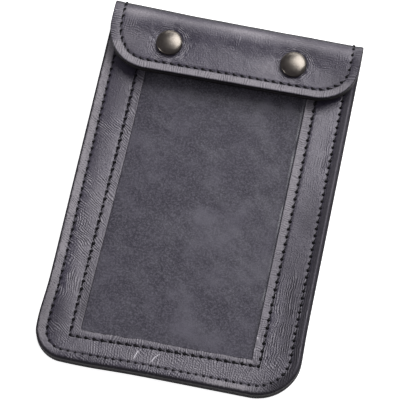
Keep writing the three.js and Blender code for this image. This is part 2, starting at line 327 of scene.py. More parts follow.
def edge_drop(inset):
    """How far a rounded cut edge falls away at an inset."""
    share = np.clip(1 - inset / EDGE_ROUND, 0, 1)
    return EDGE_ROUND * (1 - np.sqrt(np.maximum(0, 1 - share**2)))


def snap_dents(flat_x, flat_distance):
    """Leather pressed down round the caps, with short rays that run out from them."""
    dents = np.zeros(flat_x.shape)
    for side in SIDE_NAMES:
        from_snap = from_snap_at(side, flat_x, flat_distance)
        around = np.arctan2(flat_distance - SNAP_DISTANCE[side], flat_x - SNAP_X[side])
        wander = waves([(*RAY_WANDER, RAY_SEED + side)], around, from_snap)
        dents += RAY_HEIGHT * np.sin(around * RAYS + wander) * bell(from_snap - RAY_RADIUS, RAY_SPREAD)
        for height, radius, spread in SNAP_RINGS:
            dents += height * bell(from_snap - radius, spread)
    return dents


def hide_relief(x, distance):
    """Height of the grain face over its plain form, outwards. The back lies flat, so nothing rises there."""
    from_seam = from_hide_seam(x, distance)
    groove = -HIDE_GROOVE_DEPTH * bell(from_seam, HIDE_GROOVE_SPREAD)
    flare = HIDE_FLARE * smooth(-from_seam, *HIDE_FLARE_RANGE)
    flat_x, flat_distance = rounded_sheet(x, distance)
    off_sides = smooth(HALF_WIDTH - np.abs(flat_x), *VALLEY_SIDES)
    valley = -VALLEY_DEPTH * bell(flat_distance - VALLEY_LINE, VALLEY_SPREAD) * off_sides
    raised = flare + valley + waves(FLAP_WAVES, flat_x, flat_distance) + snap_dents(flat_x, flat_distance)
    return groove - edge_drop(from_hide_edge(x, distance)) + smooth(distance, *FLAP_RELIEF_START) * raised


def hide_point(x, distance, inward):
    """Points of a layer on its plain form, at flat places and depths behind the grain face."""
    flat_x, flat_distance = rounded_sheet(x, distance)
    y, z, heading = profile_at(flat_distance)
    overhang = np.maximum(0, np.abs(flat_x) - LEVEL_HALF_WIDTH) / (HALF_WIDTH - LEVEL_HALF_WIDTH)
    droop = FLAP_DROOP * overhang**2 * smooth(flat_distance, FOLD_END, HIDE_END)
    skew = FLAP_SKEW * flat_x / HALF_WIDTH * smooth(flat_distance, SHOULDER_END, HIDE_END)
    y = unevenness(flat_x, y + skew - inward * np.sin(heading))
    return np.stack([flat_x, y, z + inward * np.cos(heading) - droop], axis=-1)


# Lift of the front

RISEN_SHARE = 0.8
LOW_BAND_LIFT = 0.2
RIGHT_RISE_HEIGHTS = [20, 60, 95, 130, 165]
RIGHT_RISES = [0, 0.1, 0.2, 0.6, 0.75]
RIGHT_RISE_ACROSS = (-45, 45)
DOME_FOOT = 46.5
DOME_START = (10, 26)
DOME_SLOPES = np.gradient(DOME_RISES, DOME_HEIGHTS)


def dome_at(height):
    """Smooth curve through the dome's rows."""
    spot = np.clip(np.searchsorted(DOME_HEIGHTS, height) - 1, 0, len(DOME_HEIGHTS) - 2)
    run = DOME_HEIGHTS[spot + 1] - DOME_HEIGHTS[spot]
    share = (height - DOME_HEIGHTS[spot]) / run
    start = DOME_RISES[spot] * (1 + 2 * share) * (1 - share) ** 2
    end = DOME_RISES[spot + 1] * share**2 * (3 - 2 * share)
    lean = DOME_SLOPES[spot] * share * (1 - share) ** 2 - DOME_SLOPES[spot + 1] * share**2 * (1 - share)
    return np.maximum(0, start + end + lean * run)


def front_lift(x, height):
    """Height of the front above its sewn level: the bands lie nearly level and the window swells."""
    side_rise = smooth((HALF_WIDTH - np.abs(x)) / SIDE_BAND, SEWN_SHARE, RISEN_SHARE)
    low_rise = LOW_BAND_LIFT * smooth(height / BOTTOM_BAND, SEWN_SHARE, RISEN_SHARE)
    right_rise = np.interp(height, RIGHT_RISE_HEIGHTS, RIGHT_RISES)
    rise = low_rise + right_rise * smooth(x, *RIGHT_RISE_ACROSS)
    across = np.maximum(0, 1 - (np.abs(x) / DOME_FOOT) ** DOME_POWER)
    return rise * side_rise + dome_at(height) * across * smooth(height, *DOME_START)


# Meshes

EDGE_LINES = [0.0, 0.1, 0.28, 0.5, 0.75, 1.2, 1.8]


def build_piece(name, points, quads, materials, quad_materials=None, layers=None):
    """An object from points in millimetres, four-cornered faces and named point values."""
    points = np.asarray(points, dtype=float).reshape(-1, 3) * MM
    quads = np.asarray(quads, dtype=np.int32)
    mesh = bpy.data.meshes.new(name)
    mesh.vertices.add(len(points))
    mesh.vertices.foreach_set("co", points.ravel())
    mesh.loops.add(quads.size)
    mesh.loops.foreach_set("vertex_index", quads.ravel())
    mesh.polygons.add(len(quads))
    mesh.polygons.foreach_set("loop_start", np.arange(0, quads.size, 4, dtype=np.int32))
    for material in materials:
        mesh.materials.append(material)
    if quad_materials is not None:
        mesh.polygons.foreach_set("material_index", np.asarray(quad_materials, dtype=np.int32))
    mesh.polygons.foreach_set("use_smooth", np.ones(len(quads), dtype=bool))
    for layer, values in (layers or {}).items():
        attribute = mesh.attributes.new(layer, "FLOAT", "POINT")
        attribute.data.foreach_set("value", np.asarray(values, dtype=np.float32).ravel())
    mesh.update(calc_edges=True)
    mesh.validate()
    piece = bpy.data.objects.new(name, mesh)
    bpy.context.scene.collection.objects.link(piece)
    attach(piece, "root")
    return piece


def grid_quads(rows, columns, start=0, flip=False, ring=False):
    """Faces of a grid of points stored row by row, from the point numbered start."""
    row = np.arange(rows - 1)[:, None]
    column = np.arange(columns if ring else columns - 1)[None, :]
    following = (column + 1) % columns
    first = row * columns + column
    second = row * columns + following
    third = (row + 1) * columns + following
    fourth = (row + 1) * columns + column
    order = (fourth, third, second, first) if flip else (first, second, third, fourth)
    return np.stack(order, axis=-1).reshape(-1, 4) + start


def rim_quads(top_loop, bottom_loop):
    """Faces that join two closed loops of points, the top one running counterclockwise seen from above."""
    return np.stack([bottom_loop, np.roll(bottom_loop, -1), np.roll(top_loop, -1), top_loop], axis=-1)


def boundary_loop(rows, columns, start=0):
    """The points round a grid's edge, along its first row first."""
    numbers = np.arange(rows * columns).reshape(rows, columns) + start
    return np.concatenate([numbers[0, :-1], numbers[:-1, -1], numbers[-1, :0:-1], numbers[:0:-1, 0]])


def sheet_mesh(lower, upper):
    """Points, faces and face materials (1 on the rim, else 0) of a closed sheet between two grids."""
    rows, columns = lower.shape[:2]
    count = rows * columns
    faces = [grid_quads(rows, columns, 0, flip=True), grid_quads(rows, columns, count)]
    rim = rim_quads(boundary_loop(rows, columns, count), boundary_loop(rows, columns))
    points = np.concatenate([lower.reshape(-1, 3), upper.reshape(-1, 3)])
    return points, np.concatenate([*faces, rim]), np.repeat([0, 1], [2 * len(faces[0]), len(rim)])


def lines_between(start, end, spacing):
    steps = max(1, round((end - start) / spacing))
    return list(np.linspace(start, end, steps + 1)[1:])


def hide_grid(edge_lines, stretches, spacing_across):
    """Grids of distance along the hide and x across it, from rows of a stretch's end and spacing."""
    distances = list(edge_lines)
    for end, spacing in stretches:
        distances += lines_between(distances[-1], end, spacing)
    distances += [HIDE_END - line for line in edge_lines[-2::-1]]
    insets = edge_lines + lines_between(edge_lines[-1], HALF_WIDTH, spacing_across)
    lefts = [inset - HALF_WIDTH for inset in insets]
    return np.meshgrid(distances, lefts + [-place for place in lefts[-2::-1]], indexing="ij")


# Materials, with sizes in metres and scales in cells for each metre

WRINKLE_SCALE = 250
WRINKLE_BREAK_SCALE = 260
WRINKLE_MIDDLE = 0.45
WRINKLE_STRETCH = (0.5, 1.0, 0.5)
LINE_DISTORTION = 5.5
RING_DISTORTION = 10.0
# Directions of wrinkles: the point layer that says how deep they are and their turn in degrees
WRINKLE_TURNS = [("lengthwise", 90), ("slanting", 35), ("level", 0)]
WANDER_REACH = (0.0045, 0.0045, 0.0)


class Shading:
    """A material's nodes, with short ways to add to them."""

    def __init__(self, name):
        self.material = bpy.data.materials.new(name)
        self.material.use_nodes = True
        self.tree = self.material.node_tree
        self.tree.nodes.clear()
        self.shader = self.node("BsdfPrincipled")
        self.node("OutputMaterial", {"Surface": self.shader.outputs["BSDF"]})
        self.place = self.node("TexCoord").outputs["Object"]

    def fill(self, made, inputs):
        """Sets inputs to values, or links them to other nodes."""
        for key, value in inputs.items():
            if isinstance(value, bpy.types.NodeSocket):
                self.tree.links.new(value, made.inputs[key])
            else:
                made.inputs[key].default_value = value

    def node(self, kind, inputs=None, **settings):
        made = self.tree.nodes.new("ShaderNode" + kind)
        for key, value in settings.items():
            setattr(made, key, value)
        self.fill(made, inputs or {})
        return made

    def finished(self, inputs):
        """Fills the shader's inputs and gives the material."""
        self.fill(self.shader, inputs)
        return self.material

    def turned(self, place, turn, scale):
        """Coordinates turned about Z by degrees and then stretched."""
        rotated = self.node("Mapping", {"Vector": place, "Rotation": (0, 0, math.radians(turn))})
        stretched = self.node("Mapping", {"Vector": rotated.outputs["Vector"], "Scale": scale})
        return stretched.outputs["Vector"]

    def noise(self, place, scale, detail=3.0, roughness=0.55):
        inputs = {"Vector": place, "Scale": scale, "Detail": detail, "Roughness": roughness}
        return self.node("TexNoise", inputs).outputs["Fac"]

    def math(self, operation, first, second=0.0):
        return self.node("Math", {0: first, 1: second}, operation=operation).outputs["Value"]

    def ranged(self, value, low, high, to_low=0.0, to_high=1.0):
        inputs = {"Value": value, "From Min": low, "From Max": high, "To Min": to_low, "To Max": to_high}
        return self.node("MapRange", inputs).outputs["Result"]

    def mixed(self, share, first, second):
        """Mix of two colours, each a socket or red, green and blue."""
        colours = [(*value, 1) if isinstance(value, tuple) else value for value in (first, second)]
        return self.node("Mix", {0: share, 6: colours[0], 7: colours[1]}, data_type="RGBA").outputs[2]

    def coated(self, base, coats):
        """A base under coats, as rows of value, its start and end, greatest share and colour."""
        for value, low, high, share, colour in coats:
            base = self.mixed(self.ranged(value, low, high, 0.0, share), base, colour)
        return base

    def layer(self, name):
        return self.node("Attribute", attribute_name=name).outputs["Fac"]

    def bump(self, height, distance, strength=1.0, under=None):
        inputs = {"Height": height, "Distance": distance, "Strength": strength}
        if under is not None:
            inputs["Normal"] = under
        return self.node("Bump", inputs).outputs["Normal"]

    def wandering(self):
        """Coordinates that wander a little, so that no line drawn with them is straight."""
        wander = self.node("TexNoise", {"Vector": self.place, "Scale": 90, "Detail": 2.0})
        offset = self.node(
            "VectorMath", {0: wander.outputs["Color"], 1: WANDER_REACH}, operation="MULTIPLY"
        )
        moved = self.node("VectorMath", {0: self.place, 1: offset.outputs["Vector"]}, operation="ADD")
        return moved.outputs["Vector"]

    def wrinkle_heights(self, lay, layer, distortion, **settings):
        """Fine broken wrinkles, as deep as a point layer says, from below to above zero."""
        ridges = self.node("TexWave", {
            "Vector": lay, "Scale": WRINKLE_SCALE, "Distortion": distortion, "Detail": 2.0,
            "Detail Scale": 0.9, "Detail Roughness": 0.6,
        }, **settings).outputs["Fac"]
        broken = self.ranged(self.noise(lay, WRINKLE_BREAK_SCALE, detail=1.0), 0.37, 0.63, 0.05, 1.0)
        height = self.math("MULTIPLY", self.math("SUBTRACT", ridges, WRINKLE_MIDDLE), broken)
        return self.math("MULTIPLY", height, self.layer(layer))

    def wrinkle_rings(self, layer):
        """Wrinkles round the two caps."""
        spots = self.node("SeparateXYZ", {"Vector": self.place}).outputs
        away = self.math("SUBTRACT", self.math("ABSOLUTE", spots["X"]), SNAP_REACH * MM)
        up = self.math("SUBTRACT", spots["Y"], SNAP_Y * MM)
        lay = self.node("CombineXYZ", {"X": away, "Y": up}).outputs["Vector"]
        return self.wrinkle_heights(lay, layer, RING_DISTORTION, wave_type="RINGS", rings_direction="Z")

    def wrinkles(self):
        """All wrinkles of the leather: round the caps and along each direction."""
        total = self.wrinkle_rings("ringed")
        moved = self.wandering()
        for layer, turn in WRINKLE_TURNS:
            lay = self.turned(moved, turn, WRINKLE_STRETCH)
            lines = self.wrinkle_heights(lay, layer, LINE_DISTORTION, wave_type="BANDS", bands_direction="Y")
            total = self.math("ADD", total, lines)
        return total


def leather_material():
    """Black waxed leather: fine grain; wrinkles with a painted highlight on their ridges and painted shade in
    their valleys; pale wear mixed with painted sheen and painted light; dark stains, dark edges and painted
    shade.
    """
    shade = Shading("grained_leather")
    wear_and_painted_light = shade.layer("wear_and_painted_light")
    # Darkening: stains, dark edges, and painted shade in the seams, on the fold's crest and down the right
    # band
    dark = shade.math("MAXIMUM", shade.layer("shade_and_dark_edges"), shade.layer("stain_and_shade"))
    clouds = shade.noise(shade.place, 48, detail=4)
    mottle = shade.noise(shade.place, 330, detail=4, roughness=0.6)
    sand = shade.noise(shade.place, 1050, detail=3, roughness=0.65)
    wrinkles = shade.wrinkles()
    base = shade.mixed(shade.ranged(clouds, 0.32, 0.68), (0.029, 0.025, 0.042), (0.042, 0.037, 0.057))
    base = shade.coated(base, [
        (sand, 0.53, 0.70, 0.55, (0.105, 0.097, 0.122)),
        (sand, 0.47, 0.32, 0.6, (0.014, 0.012, 0.019)),
        # Painted highlight on the wrinkles' ridges, then painted shade in their valleys
        (wrinkles, 0.03, 0.5, 0.88, (0.285, 0.270, 0.300)),
        (wrinkles, -0.03, -0.35, 0.85, (0.009, 0.008, 0.013)),
        (mottle, 0.4, 0.75, 0.4, (0.066, 0.061, 0.080)),
    ])
    # Wear, mixed with a painted sheen and painted light that pales cast shadows
    worn_and_lit = shade.math("MULTIPLY", wear_and_painted_light, shade.ranged(sand, 0.35, 0.65, 0.6, 1.0))
    worn_and_lit = shade.math("MULTIPLY", worn_and_lit, shade.ranged(wrinkles, -0.3, 0.04, 0.4, 1.0))
    base = shade.mixed(worn_and_lit, base, (0.270, 0.254, 0.274))
    # Pale scratches, and painted glints at the window's right edge
    base = shade.mixed(shade.layer("scratch_and_glint"), base, (0.66, 0.63, 0.68))
    base = shade.mixed(dark, base, (0.008, 0.007, 0.010))
    dull = shade.math("MULTIPLY", shade.math("MAXIMUM", wear_and_painted_light, dark), 0.3)
    grain = shade.bump(sand, 0.00018)
    return shade.finished({
        "Base Color": base,
        "Roughness": shade.math("ADD", shade.ranged(mottle, 0.3, 0.7, 0.27, 0.36), dull),
        "Specular IOR Level": shade.ranged(dark, 0.0, 1.0, 0.6, 0.2),
        "Specular Tint": (0.98, 0.94, 1.0, 1),
        "Normal": shade.bump(wrinkles, 0.00026, under=grain),
    })


def edge_material():
    """Burnished cut edge: nearly black with a trace of brown and fine lines along its layers."""
    shade = Shading("burnished_edge")
    layers = shade.noise(shade.turned(shade.place, 0, (1, 1, 9)), 160)
    return shade.finished({
        "Base Color": shade.mixed(
            shade.ranged(layers, 0.35, 0.7), (0.004, 0.004, 0.004), (0.020, 0.017, 0.016)
        ),
        "Roughness": shade.ranged(layers, 0.3, 0.7, 0.55, 0.75),
        "Specular IOR Level": 0.08,
        "Normal": shade.bump(layers, 0.0003, 0.6),
    })


def suede_material():
    """Napped lining: cloudy, with pale scuffs and a short nap, and painted light that pales it just below the
    flap's edge.
    """
    shade = Shading("napped_lining")
    clouds = shade.noise(shade.place, 32, detail=5, roughness=0.62)
    scuffs_and_light = shade.noise(shade.wandering(), 62, detail=7, roughness=0.72)
    # Scuffs, and painted light below the flap's edge
    scuffs_and_light = shade.math("ADD", scuffs_and_light, shade.layer("scuff_and_light"))
    nap = shade.noise(shade.place, 980, detail=3, roughness=0.7)
    base = shade.mixed(shade.ranged(clouds, 0.33, 0.68), (0.021, 0.0185, 0.029), (0.036, 0.032, 0.047))
    return shade.finished({
        "Base Color": shade.coated(base, [
            (scuffs_and_light, 0.51, 0.80, 0.75, (0.118, 0.111, 0.138)),
            (nap, 0.44, 0.62, 0.9, (0.094, 0.0865, 0.110)),
        ]),
        "Roughness": shade.ranged(nap, 0.3, 0.7, 0.82, 0.97),
        "Specular IOR Level": 0.3,
        "Sheen Weight": 0.15,
        "Normal": shade.bump(nap, 0.00025, 0.7),
    })


def film_material():
    """Clear flexible film with a little haze, faint rubbing, and a painted highlight: a paler line along its
    right edge.
    """
    shade = Shading("clear_film")
    rubbed = shade.noise(shade.turned(shade.place, 40, (1, 2.2, 1)), 60, detail=6, roughness=0.68)
    haze = shade.noise(shade.place, 22)
    # Painted highlight along the film's right edge
    painted_highlight = shade.math("MULTIPLY", shade.layer("film_highlight"), 0.35)
    return shade.finished({
        "Base Color": shade.mixed(haze, (0.42, 0.42, 0.46), (0.52, 0.52, 0.56)),
        "Alpha": shade.math("ADD", shade.ranged(rubbed, 0.45, 0.8, 0.02, 0.07), painted_highlight),
        "Roughness": shade.ranged(haze, 0.3, 0.7, 0.22, 0.34),
    })


def metal_material():
    """Antique gunmetal, polished on the crown, with painted shade darkening the rolled rim."""
    shade = Shading("antique_gunmetal")
    patina = shade.noise(shade.place, 420, detail=4, roughness=0.6)
    fine = shade.noise(shade.place, 2600, detail=2)
    base = shade.mixed(shade.ranged(patina, 0.3, 0.7), (0.138, 0.122, 0.107), (0.184, 0.166, 0.146))
    # Painted shade in the rolled rim
    rim = shade.math("MULTIPLY", shade.layer("rim"), 0.85)
    return shade.finished({
        "Base Color": shade.mixed(rim, base, (0.016, 0.013, 0.012)),
        "Metallic": 1.0,
        "Roughness": shade.ranged(patina, 0.3, 0.7, 0.28, 0.33),
        "Normal": shade.bump(fine, 0.00002, 0.3),
    })


def thread_material():
    """Waxed black thread with a twist."""
    shade = Shading("waxed_thread")
    strands = shade.noise(shade.turned(shade.place, 33, (1, 4, 1)), 900, detail=2)
    return shade.finished({
        "Base Color": shade.mixed(
            shade.ranged(strands, 0.35, 0.7), (0.002, 0.002, 0.003), (0.010, 0.009, 0.011)
        ),
        "Roughness": shade.ranged(strands, 0.3, 0.7, 0.5, 0.7),
        "Specular IOR Level": 0.2,
        "Normal": shade.bump(strands, 0.0002, 0.5),
    })


def floor_material():
    """Pale floor with the faintest unevenness."""
    shade = Shading("pale_floor")
    base = shade.mixed(shade.noise(shade.place, 6, detail=2), (0.93, 0.93, 0.93), (0.95, 0.95, 0.95))
    return shade.finished({
        "Base Color": base, "Emission Color": base, "Emission Strength": 0.8, "Roughness": 0.9,
    })


LEATHER = leather_material()
EDGE = edge_material()
SUEDE = suede_material()
FILM = film_material()
METAL = metal_material()
THREAD = thread_material()


# The hide that makes the back, the fold and the flap

HIDE_STRETCHES = [(9.0, 0.8), (BACK_END - 6, 2.6), (HIDE_END - EDGE_LINES[-1], 0.68)]
HIDE_SPACING_ACROSS = 0.86
# Paler patches of the flap, wear together with painted sheen and painted light, and darker patches: x, y,
# spread across, spread along and depth
FLAP_WEAR_AND_PAINTED_LIGHT = [
    (-58, 80, 11, 10, 0.35),
    (22, 78, 9, 6, 0.45),
    # Painted sheen along the shoulder
    (9, 97, 14, 3, 0.55),
    (-56, 96, 6, 4, 0.45),
    # Paler near the flap's lower edge
    (12, 68, 8, 3, 0.15),
    # Painted light below the caps, where their shade falls
    (34, 73, 6, 1.8, 0.3),
    (-37, 73, 6, 1.8, 0.15),
]
FLAP_DARK_PATCHES = [
    (60, 78, 13, 9, 0.38),
    (42, 92, 18, 4, 0.35),
    (-30, 92, 14, 4, 0.25),
    (40, 98, 10, 3, 0.25),
    (-8, 81, 10, 5, 0.15),
    (48, 68, 9, 3, 0.12),
]
# Zones of wear, stain, painted sheen and painted shade, and of darkening at the cut edges, as insets from a
# seam or an edge or as distances along the hide
STRIP_RANGE = (0.4, 1.2)
HIDE_EDGE_RANGE = (0.2, 0.7)
HIDE_WEAR_RANGE = (0.4, 1.0)
FLAP_END_RANGE = (HIDE_END - 12, HIDE_END - 8)
FLAP_START = (FOLD_END, FOLD_END + 2)
BACK_AND_CREST_SHADE_END = (FOLD_END - 2.6, FOLD_END + 1.0)
SEAM_SHADE_SPREAD = 0.35
HIDE_SEAM_SHADE = 0.5
HIDE_EDGE_DARKENING = 0.9
FLAP_SIDE_WEAR = sides(0.14, 0.08)
FLAP_SIDE_STAIN = sides(0.0, 0.3)
# Painted shade over the back and the fold, fading out where the fold ends
BACK_AND_CREST_SHADE = 0.92
# A painted sheen along the shoulder below the fold's crest: its line, spread, depth and mottle
CREST_LINE = FOLD_END + 3.2
CREST_SPREAD = 2.3
CREST_SHEEN = 0.56
CREST_SHEEN_MOTTLE = [(0.28, 12, 6, 33)]
# Wrinkles of the flap
FLAP_LEVEL_WRINKLES = (0.04, 0.34)
FLAP_PATCHES = [(1, 18, 14, 31)]
FLAP_PATCH_RANGE = (0.0, 0.8)
FLAP_STRIP_WRINKLES = 0.4
FLAP_END_WRINKLES = 0.7
CREST_WRINKLES = 0.45
CREST_WRINKLE_SPREAD = 6
CREST_STREAKS = [(1, 15, 20, 32)]
CREST_STREAK_RANGE = (-0.3, 0.6)
SNAP_WRINKLES = 0.8
SNAP_WRINKLE_RADIUS = 9.0
SNAP_WRINKLE_SPREAD = 2.6


def hide_layers(x, distance, grain):
    """Point values for the leather of the hide, whose grain face has the points in grain."""
    from_seam = from_hide_seam(x, distance)
    from_edge = from_hide_edge(x, distance)
    flat_x, flat_distance = rounded_sheet(x, distance)
    flap_end = smooth(distance, *FLAP_END_RANGE)
    on_strip = smooth(-from_seam, *STRIP_RANGE)
    inside = 1 - on_strip
    on_flap = smooth(distance, *FLAP_START)
    edge_darkening = HIDE_EDGE_DARKENING * (1 - smooth(from_edge, *HIDE_EDGE_RANGE))
    strip_wear = mix(by_side(FLAP_SIDE_WEAR, x), 1.0, flap_end) * smooth(distance, BACK_END, FOLD_END)
    # Painted sheen along the shoulder
    crest_sheen = CREST_SHEEN + waves(CREST_SHEEN_MOTTLE, x, distance)
    wear_and_painted_light = strip_wear * on_strip * smooth(from_edge, *HIDE_WEAR_RANGE)
    wear_and_painted_light = wear_and_painted_light + crest_sheen * bell(distance - CREST_LINE, CREST_SPREAD) * inside
    wear_and_painted_light = wear_and_painted_light + on_flap * patch_depths(FLAP_WEAR_AND_PAINTED_LIGHT, grain[..., 0], grain[..., 1])
    stain_and_shade = by_side(FLAP_SIDE_STAIN, x) * on_strip * (1 - flap_end)
    # Painted shade on the back and the fold's crest
    stain_and_shade = np.maximum(stain_and_shade, BACK_AND_CREST_SHADE * (1 - smooth(distance, *BACK_AND_CREST_SHADE_END)))
    stain_and_shade = np.maximum(stain_and_shade, on_flap * patch_depths(FLAP_DARK_PATCHES, grain[..., 0], grain[..., 1]))
    patches = smooth(waves(FLAP_PATCHES, flat_x, flat_distance), *FLAP_PATCH_RANGE)
    streaks = smooth(waves(CREST_STREAKS, flat_x, flat_distance), *CREST_STREAK_RANGE)
    near_crest = bell(flat_distance - SHOULDER_END, CREST_WRINKLE_SPREAD)
    crest_wrinkles = CREST_WRINKLES * near_crest * streaks * inside
    from_snaps = [from_snap_at(side, flat_x, flat_distance) for side in SIDE_NAMES]
    rings = sum(bell(from_snap - SNAP_WRINKLE_RADIUS, SNAP_WRINKLE_SPREAD) for from_snap in from_snaps)
    return {
        # Painted shade in the seam's groove, and darker along the cut edges
        "shade_and_dark_edges": np.maximum(HIDE_SEAM_SHADE * bell(from_seam, SEAM_SHADE_SPREAD), edge_darkening),
        "wear_and_painted_light": wear_and_painted_light,
        "stain_and_shade": stain_and_shade,
        "lengthwise": FLAP_END_WRINKLES * on_strip * flap_end + crest_wrinkles,
        "ringed": SNAP_WRINKLES * rings,
        "level": mix(*FLAP_LEVEL_WRINKLES, patches) + FLAP_STRIP_WRINKLES * on_strip * (1 - flap_end),
    }


def make_hide():
    distance, x = hide_grid(EDGE_LINES, HIDE_STRETCHES, HIDE_SPACING_ACROSS)
    grain = hide_point(x, distance, -hide_relief(x, distance))
    points, quads, kinds = sheet_mesh(grain, hide_point(x, distance, HIDE_THICKNESS))
    layers = hide_layers(x, distance, grain)
    layers = {name: np.pad(values.ravel(), (0, x.size)) for name, values in layers.items()}
    hide = build_piece("folded_hide", points, quads, [LEATHER, EDGE], kinds, layers)
    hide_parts("back_and_flap")


# The lining

LINING_STRETCHES = [(BACK_END, 2.4), (HIDE_END - EDGE_LINES[-1], 1.4)]
LINING_SPACING_ACROSS = 2.2
LINING_WAVES = [(0.06, 6, 6, 41)]
LINING_SINK = 0.06
# Pale patches of the lining, scuffs and, just below the flap's edge, painted light that narrows the flap's
# shadow: x, y, spread and depth
SCUFFS_AND_PAINTED_LIGHT = [
    (3, -10, 7, 0.13),
    (11, -25, 6, 0.17),
    (-14, -38, 6, 0.10),
    (27, -36, 7, 0.11),
    (5, -76, 8, 0.26),
    (23, -78, 7, 0.20),
    (-33, 54, 7, 0.10),
    # Painted light just below the flap's edge, where its shadow falls
    (36, 62, 4, 0.30),
    (24, 62, 4, 0.24),
    (12, 62, 4, 0.20),
    (-20, 61, 4, 0.24),
    # A scuff low on the window
    (-15, -62, 7, 0.11),
]


def make_lining():
    distance, x = hide_grid(EDGE_LINES[::2], LINING_STRETCHES, LINING_SPACING_ACROSS)
    inner_depth = LINING_DEPTH + LINING_THICKNESS + waves(LINING_WAVES, x, distance) - LINING_SINK
    outer = hide_point(x, distance, LINING_DEPTH)
    points, quads, kinds = sheet_mesh(outer, hide_point(x, distance, inner_depth))
    y = BOTTOM_Y + distance
    # Scuffs, and painted light below the flap's edge
    scuff_and_light = sum(depth * bell(np.hypot(x - at_x, y - at_y), spread) for at_x, at_y, spread, depth in SCUFFS_AND_PAINTED_LIGHT)
    layers = {"scuff_and_light": np.pad(scuff_and_light.ravel(), (x.size, 0))}
    lining = build_piece("suede_lining", points, quads, [SUEDE, EDGE], kinds, layers)
    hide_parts("lining")


# The frame, as rings of insets from its sides, bottom and mouth: cut edge, outer seam, inner seam and window

RING_KEYS = np.array([
    [0, 0, 0],
    [SIDE_SEAM, BOTTOM_SEAM, SIDE_SEAM],
    [INNER_SIDE_SEAM, INNER_BOTTOM_SEAM, INNER_MOUTH_INSET],
    [SIDE_BAND, BOTTOM_BAND, TOP_BAND],
])
# Columns of each stretch round the frame, counterclockwise from the bottom left
RING_COLUMNS = {
    "bottom": 240,
    "right corner": 58,
    "right": 268,
    "mouth": 40,
    "left": 280,
    "left corner": 38,
}
STRIP_SPACING = 0.6
BAND_SPACING = 0.62
MARGIN_SPACING = 0.55
WINDOW_LINES = [0.8, 0.5, 0.28, 0.1, 0.0]
UNDER_ROWS = 9
# How far the inner seam and the window stand from their even places, as left and right values
DRIFT_ACROSS_TOP = (0.0, -0.6)
DRIFT_ACROSS_LOW = (-1.9, -1.5)
SEAM_DRIFT_UP = (-1.2, 1.2)
WINDOW_DRIFT_UP = (0.4, 1.4)
DRIFT_HALF_WIDTH = 50
DRIFT_ACROSS_FADE = (14, 150)
DRIFT_UP_FADE = (14, 70)
WINDOW_WIDENING = 0.6
WIDENING_RANGE = (20, 40)
WINDOW_WAVES = [(0.35, 7, 30, 61)]


def at_level(level, values):
    """Value at a level: 0 at the cut edge, 1 at the outer seam, 2 at the inner seam and 3 at the window."""
    return np.interp(level, range(len(values)), values)


def ring_insets(level):
    return [at_level(level, insets) for insets in RING_KEYS.T]


def ring_corner(side, level):
    radius = POUCH_CORNER[side]
    return at_level(level, [radius, radius - SEAM_CORNER_CUT, WINDOW_CORNER, WINDOW_CORNER])


def inward_share(level):
    return at_level(level, RING_KEYS[:, 0] / SIDE_BAND)


def ring_place(level, stretch, run):
    """The x, height, and sideways and mouthward shares of a place on the frame."""
    side_inset, bottom, mouth_inset = ring_insets(level)
    reach = HALF_WIDTH - side_inset
    top = MOUTH_HEIGHT - mouth_inset
    left_corner = ring_corner(-1, level)
    right_corner = ring_corner(1, level)
    if stretch == "bottom":
        return mix(left_corner - reach, reach - right_corner, run), bottom, 0.0, 0.0
    if stretch == "right":
        return reach, mix(bottom + right_corner, top, run), 1.0, 0.0
    if stretch == "mouth":
        return mix(reach, -reach, (1 - math.cos(math.pi * run)) / 2), top, 1.0, 1.0
    if stretch == "left":
        return -reach, mix(top, bottom + left_corner, run), 1.0, 0.0
    at_right = stretch == "right corner"
    radius = right_corner if at_right else left_corner
    climb = run if at_right else 1 - run
    turn = climb * math.pi / 2
    x = reach - radius + radius * math.sin(turn)
    return x if at_right else -x, bottom + radius - radius * math.cos(turn), climb, 0.0


def drifted(level, x, height):
    """Places on the frame with the inner seam and the window sewn a little askew."""
    inner = np.clip(level - 1, 0, 1)
    margin = np.clip(level - 2, 0, 1)
    rightward = np.clip((x + DRIFT_HALF_WIDTH) / (2 * DRIFT_HALF_WIDTH), 0, 1)
    low = 1 - smooth(height, *DRIFT_ACROSS_FADE)
    across = mix(mix(*DRIFT_ACROSS_TOP, rightward), mix(*DRIFT_ACROSS_LOW, rightward), low)
    across = across + margin * low * WINDOW_WIDENING * smooth(x, *WIDENING_RANGE)
    up = mix(mix(*SEAM_DRIFT_UP, rightward), mix(*WINDOW_DRIFT_UP, rightward), margin)
    up = up + margin * waves(WINDOW_WAVES, x, height)
    return x + inner * across, height + inner * up * (1 - smooth(height, *DRIFT_UP_FADE))


def front_surface(x, height, share):
    """The x and y of places on the front, flared and uneven, a share of the way in to the window."""
    flared = x + np.sign(x) * (hip_flare(x, height) + by_side(FRONT_OVERHANG, x)) * (1 - share)
    return flared, unevenness(flared, BOTTOM_Y + height)


def frame_levels():
    insets = EDGE_LINES + lines_between(EDGE_LINES[-1], SIDE_SEAM, STRIP_SPACING)
    insets += lines_between(SIDE_SEAM, INNER_SIDE_SEAM, BAND_SPACING)
    insets += lines_between(INNER_SIDE_SEAM, SIDE_BAND - WINDOW_LINES[0], MARGIN_SPACING)
    insets += [SIDE_BAND - inset for inset in WINDOW_LINES[1:]]
    return np.interp(insets, RING_KEYS[:, 0], range(len(RING_KEYS)))


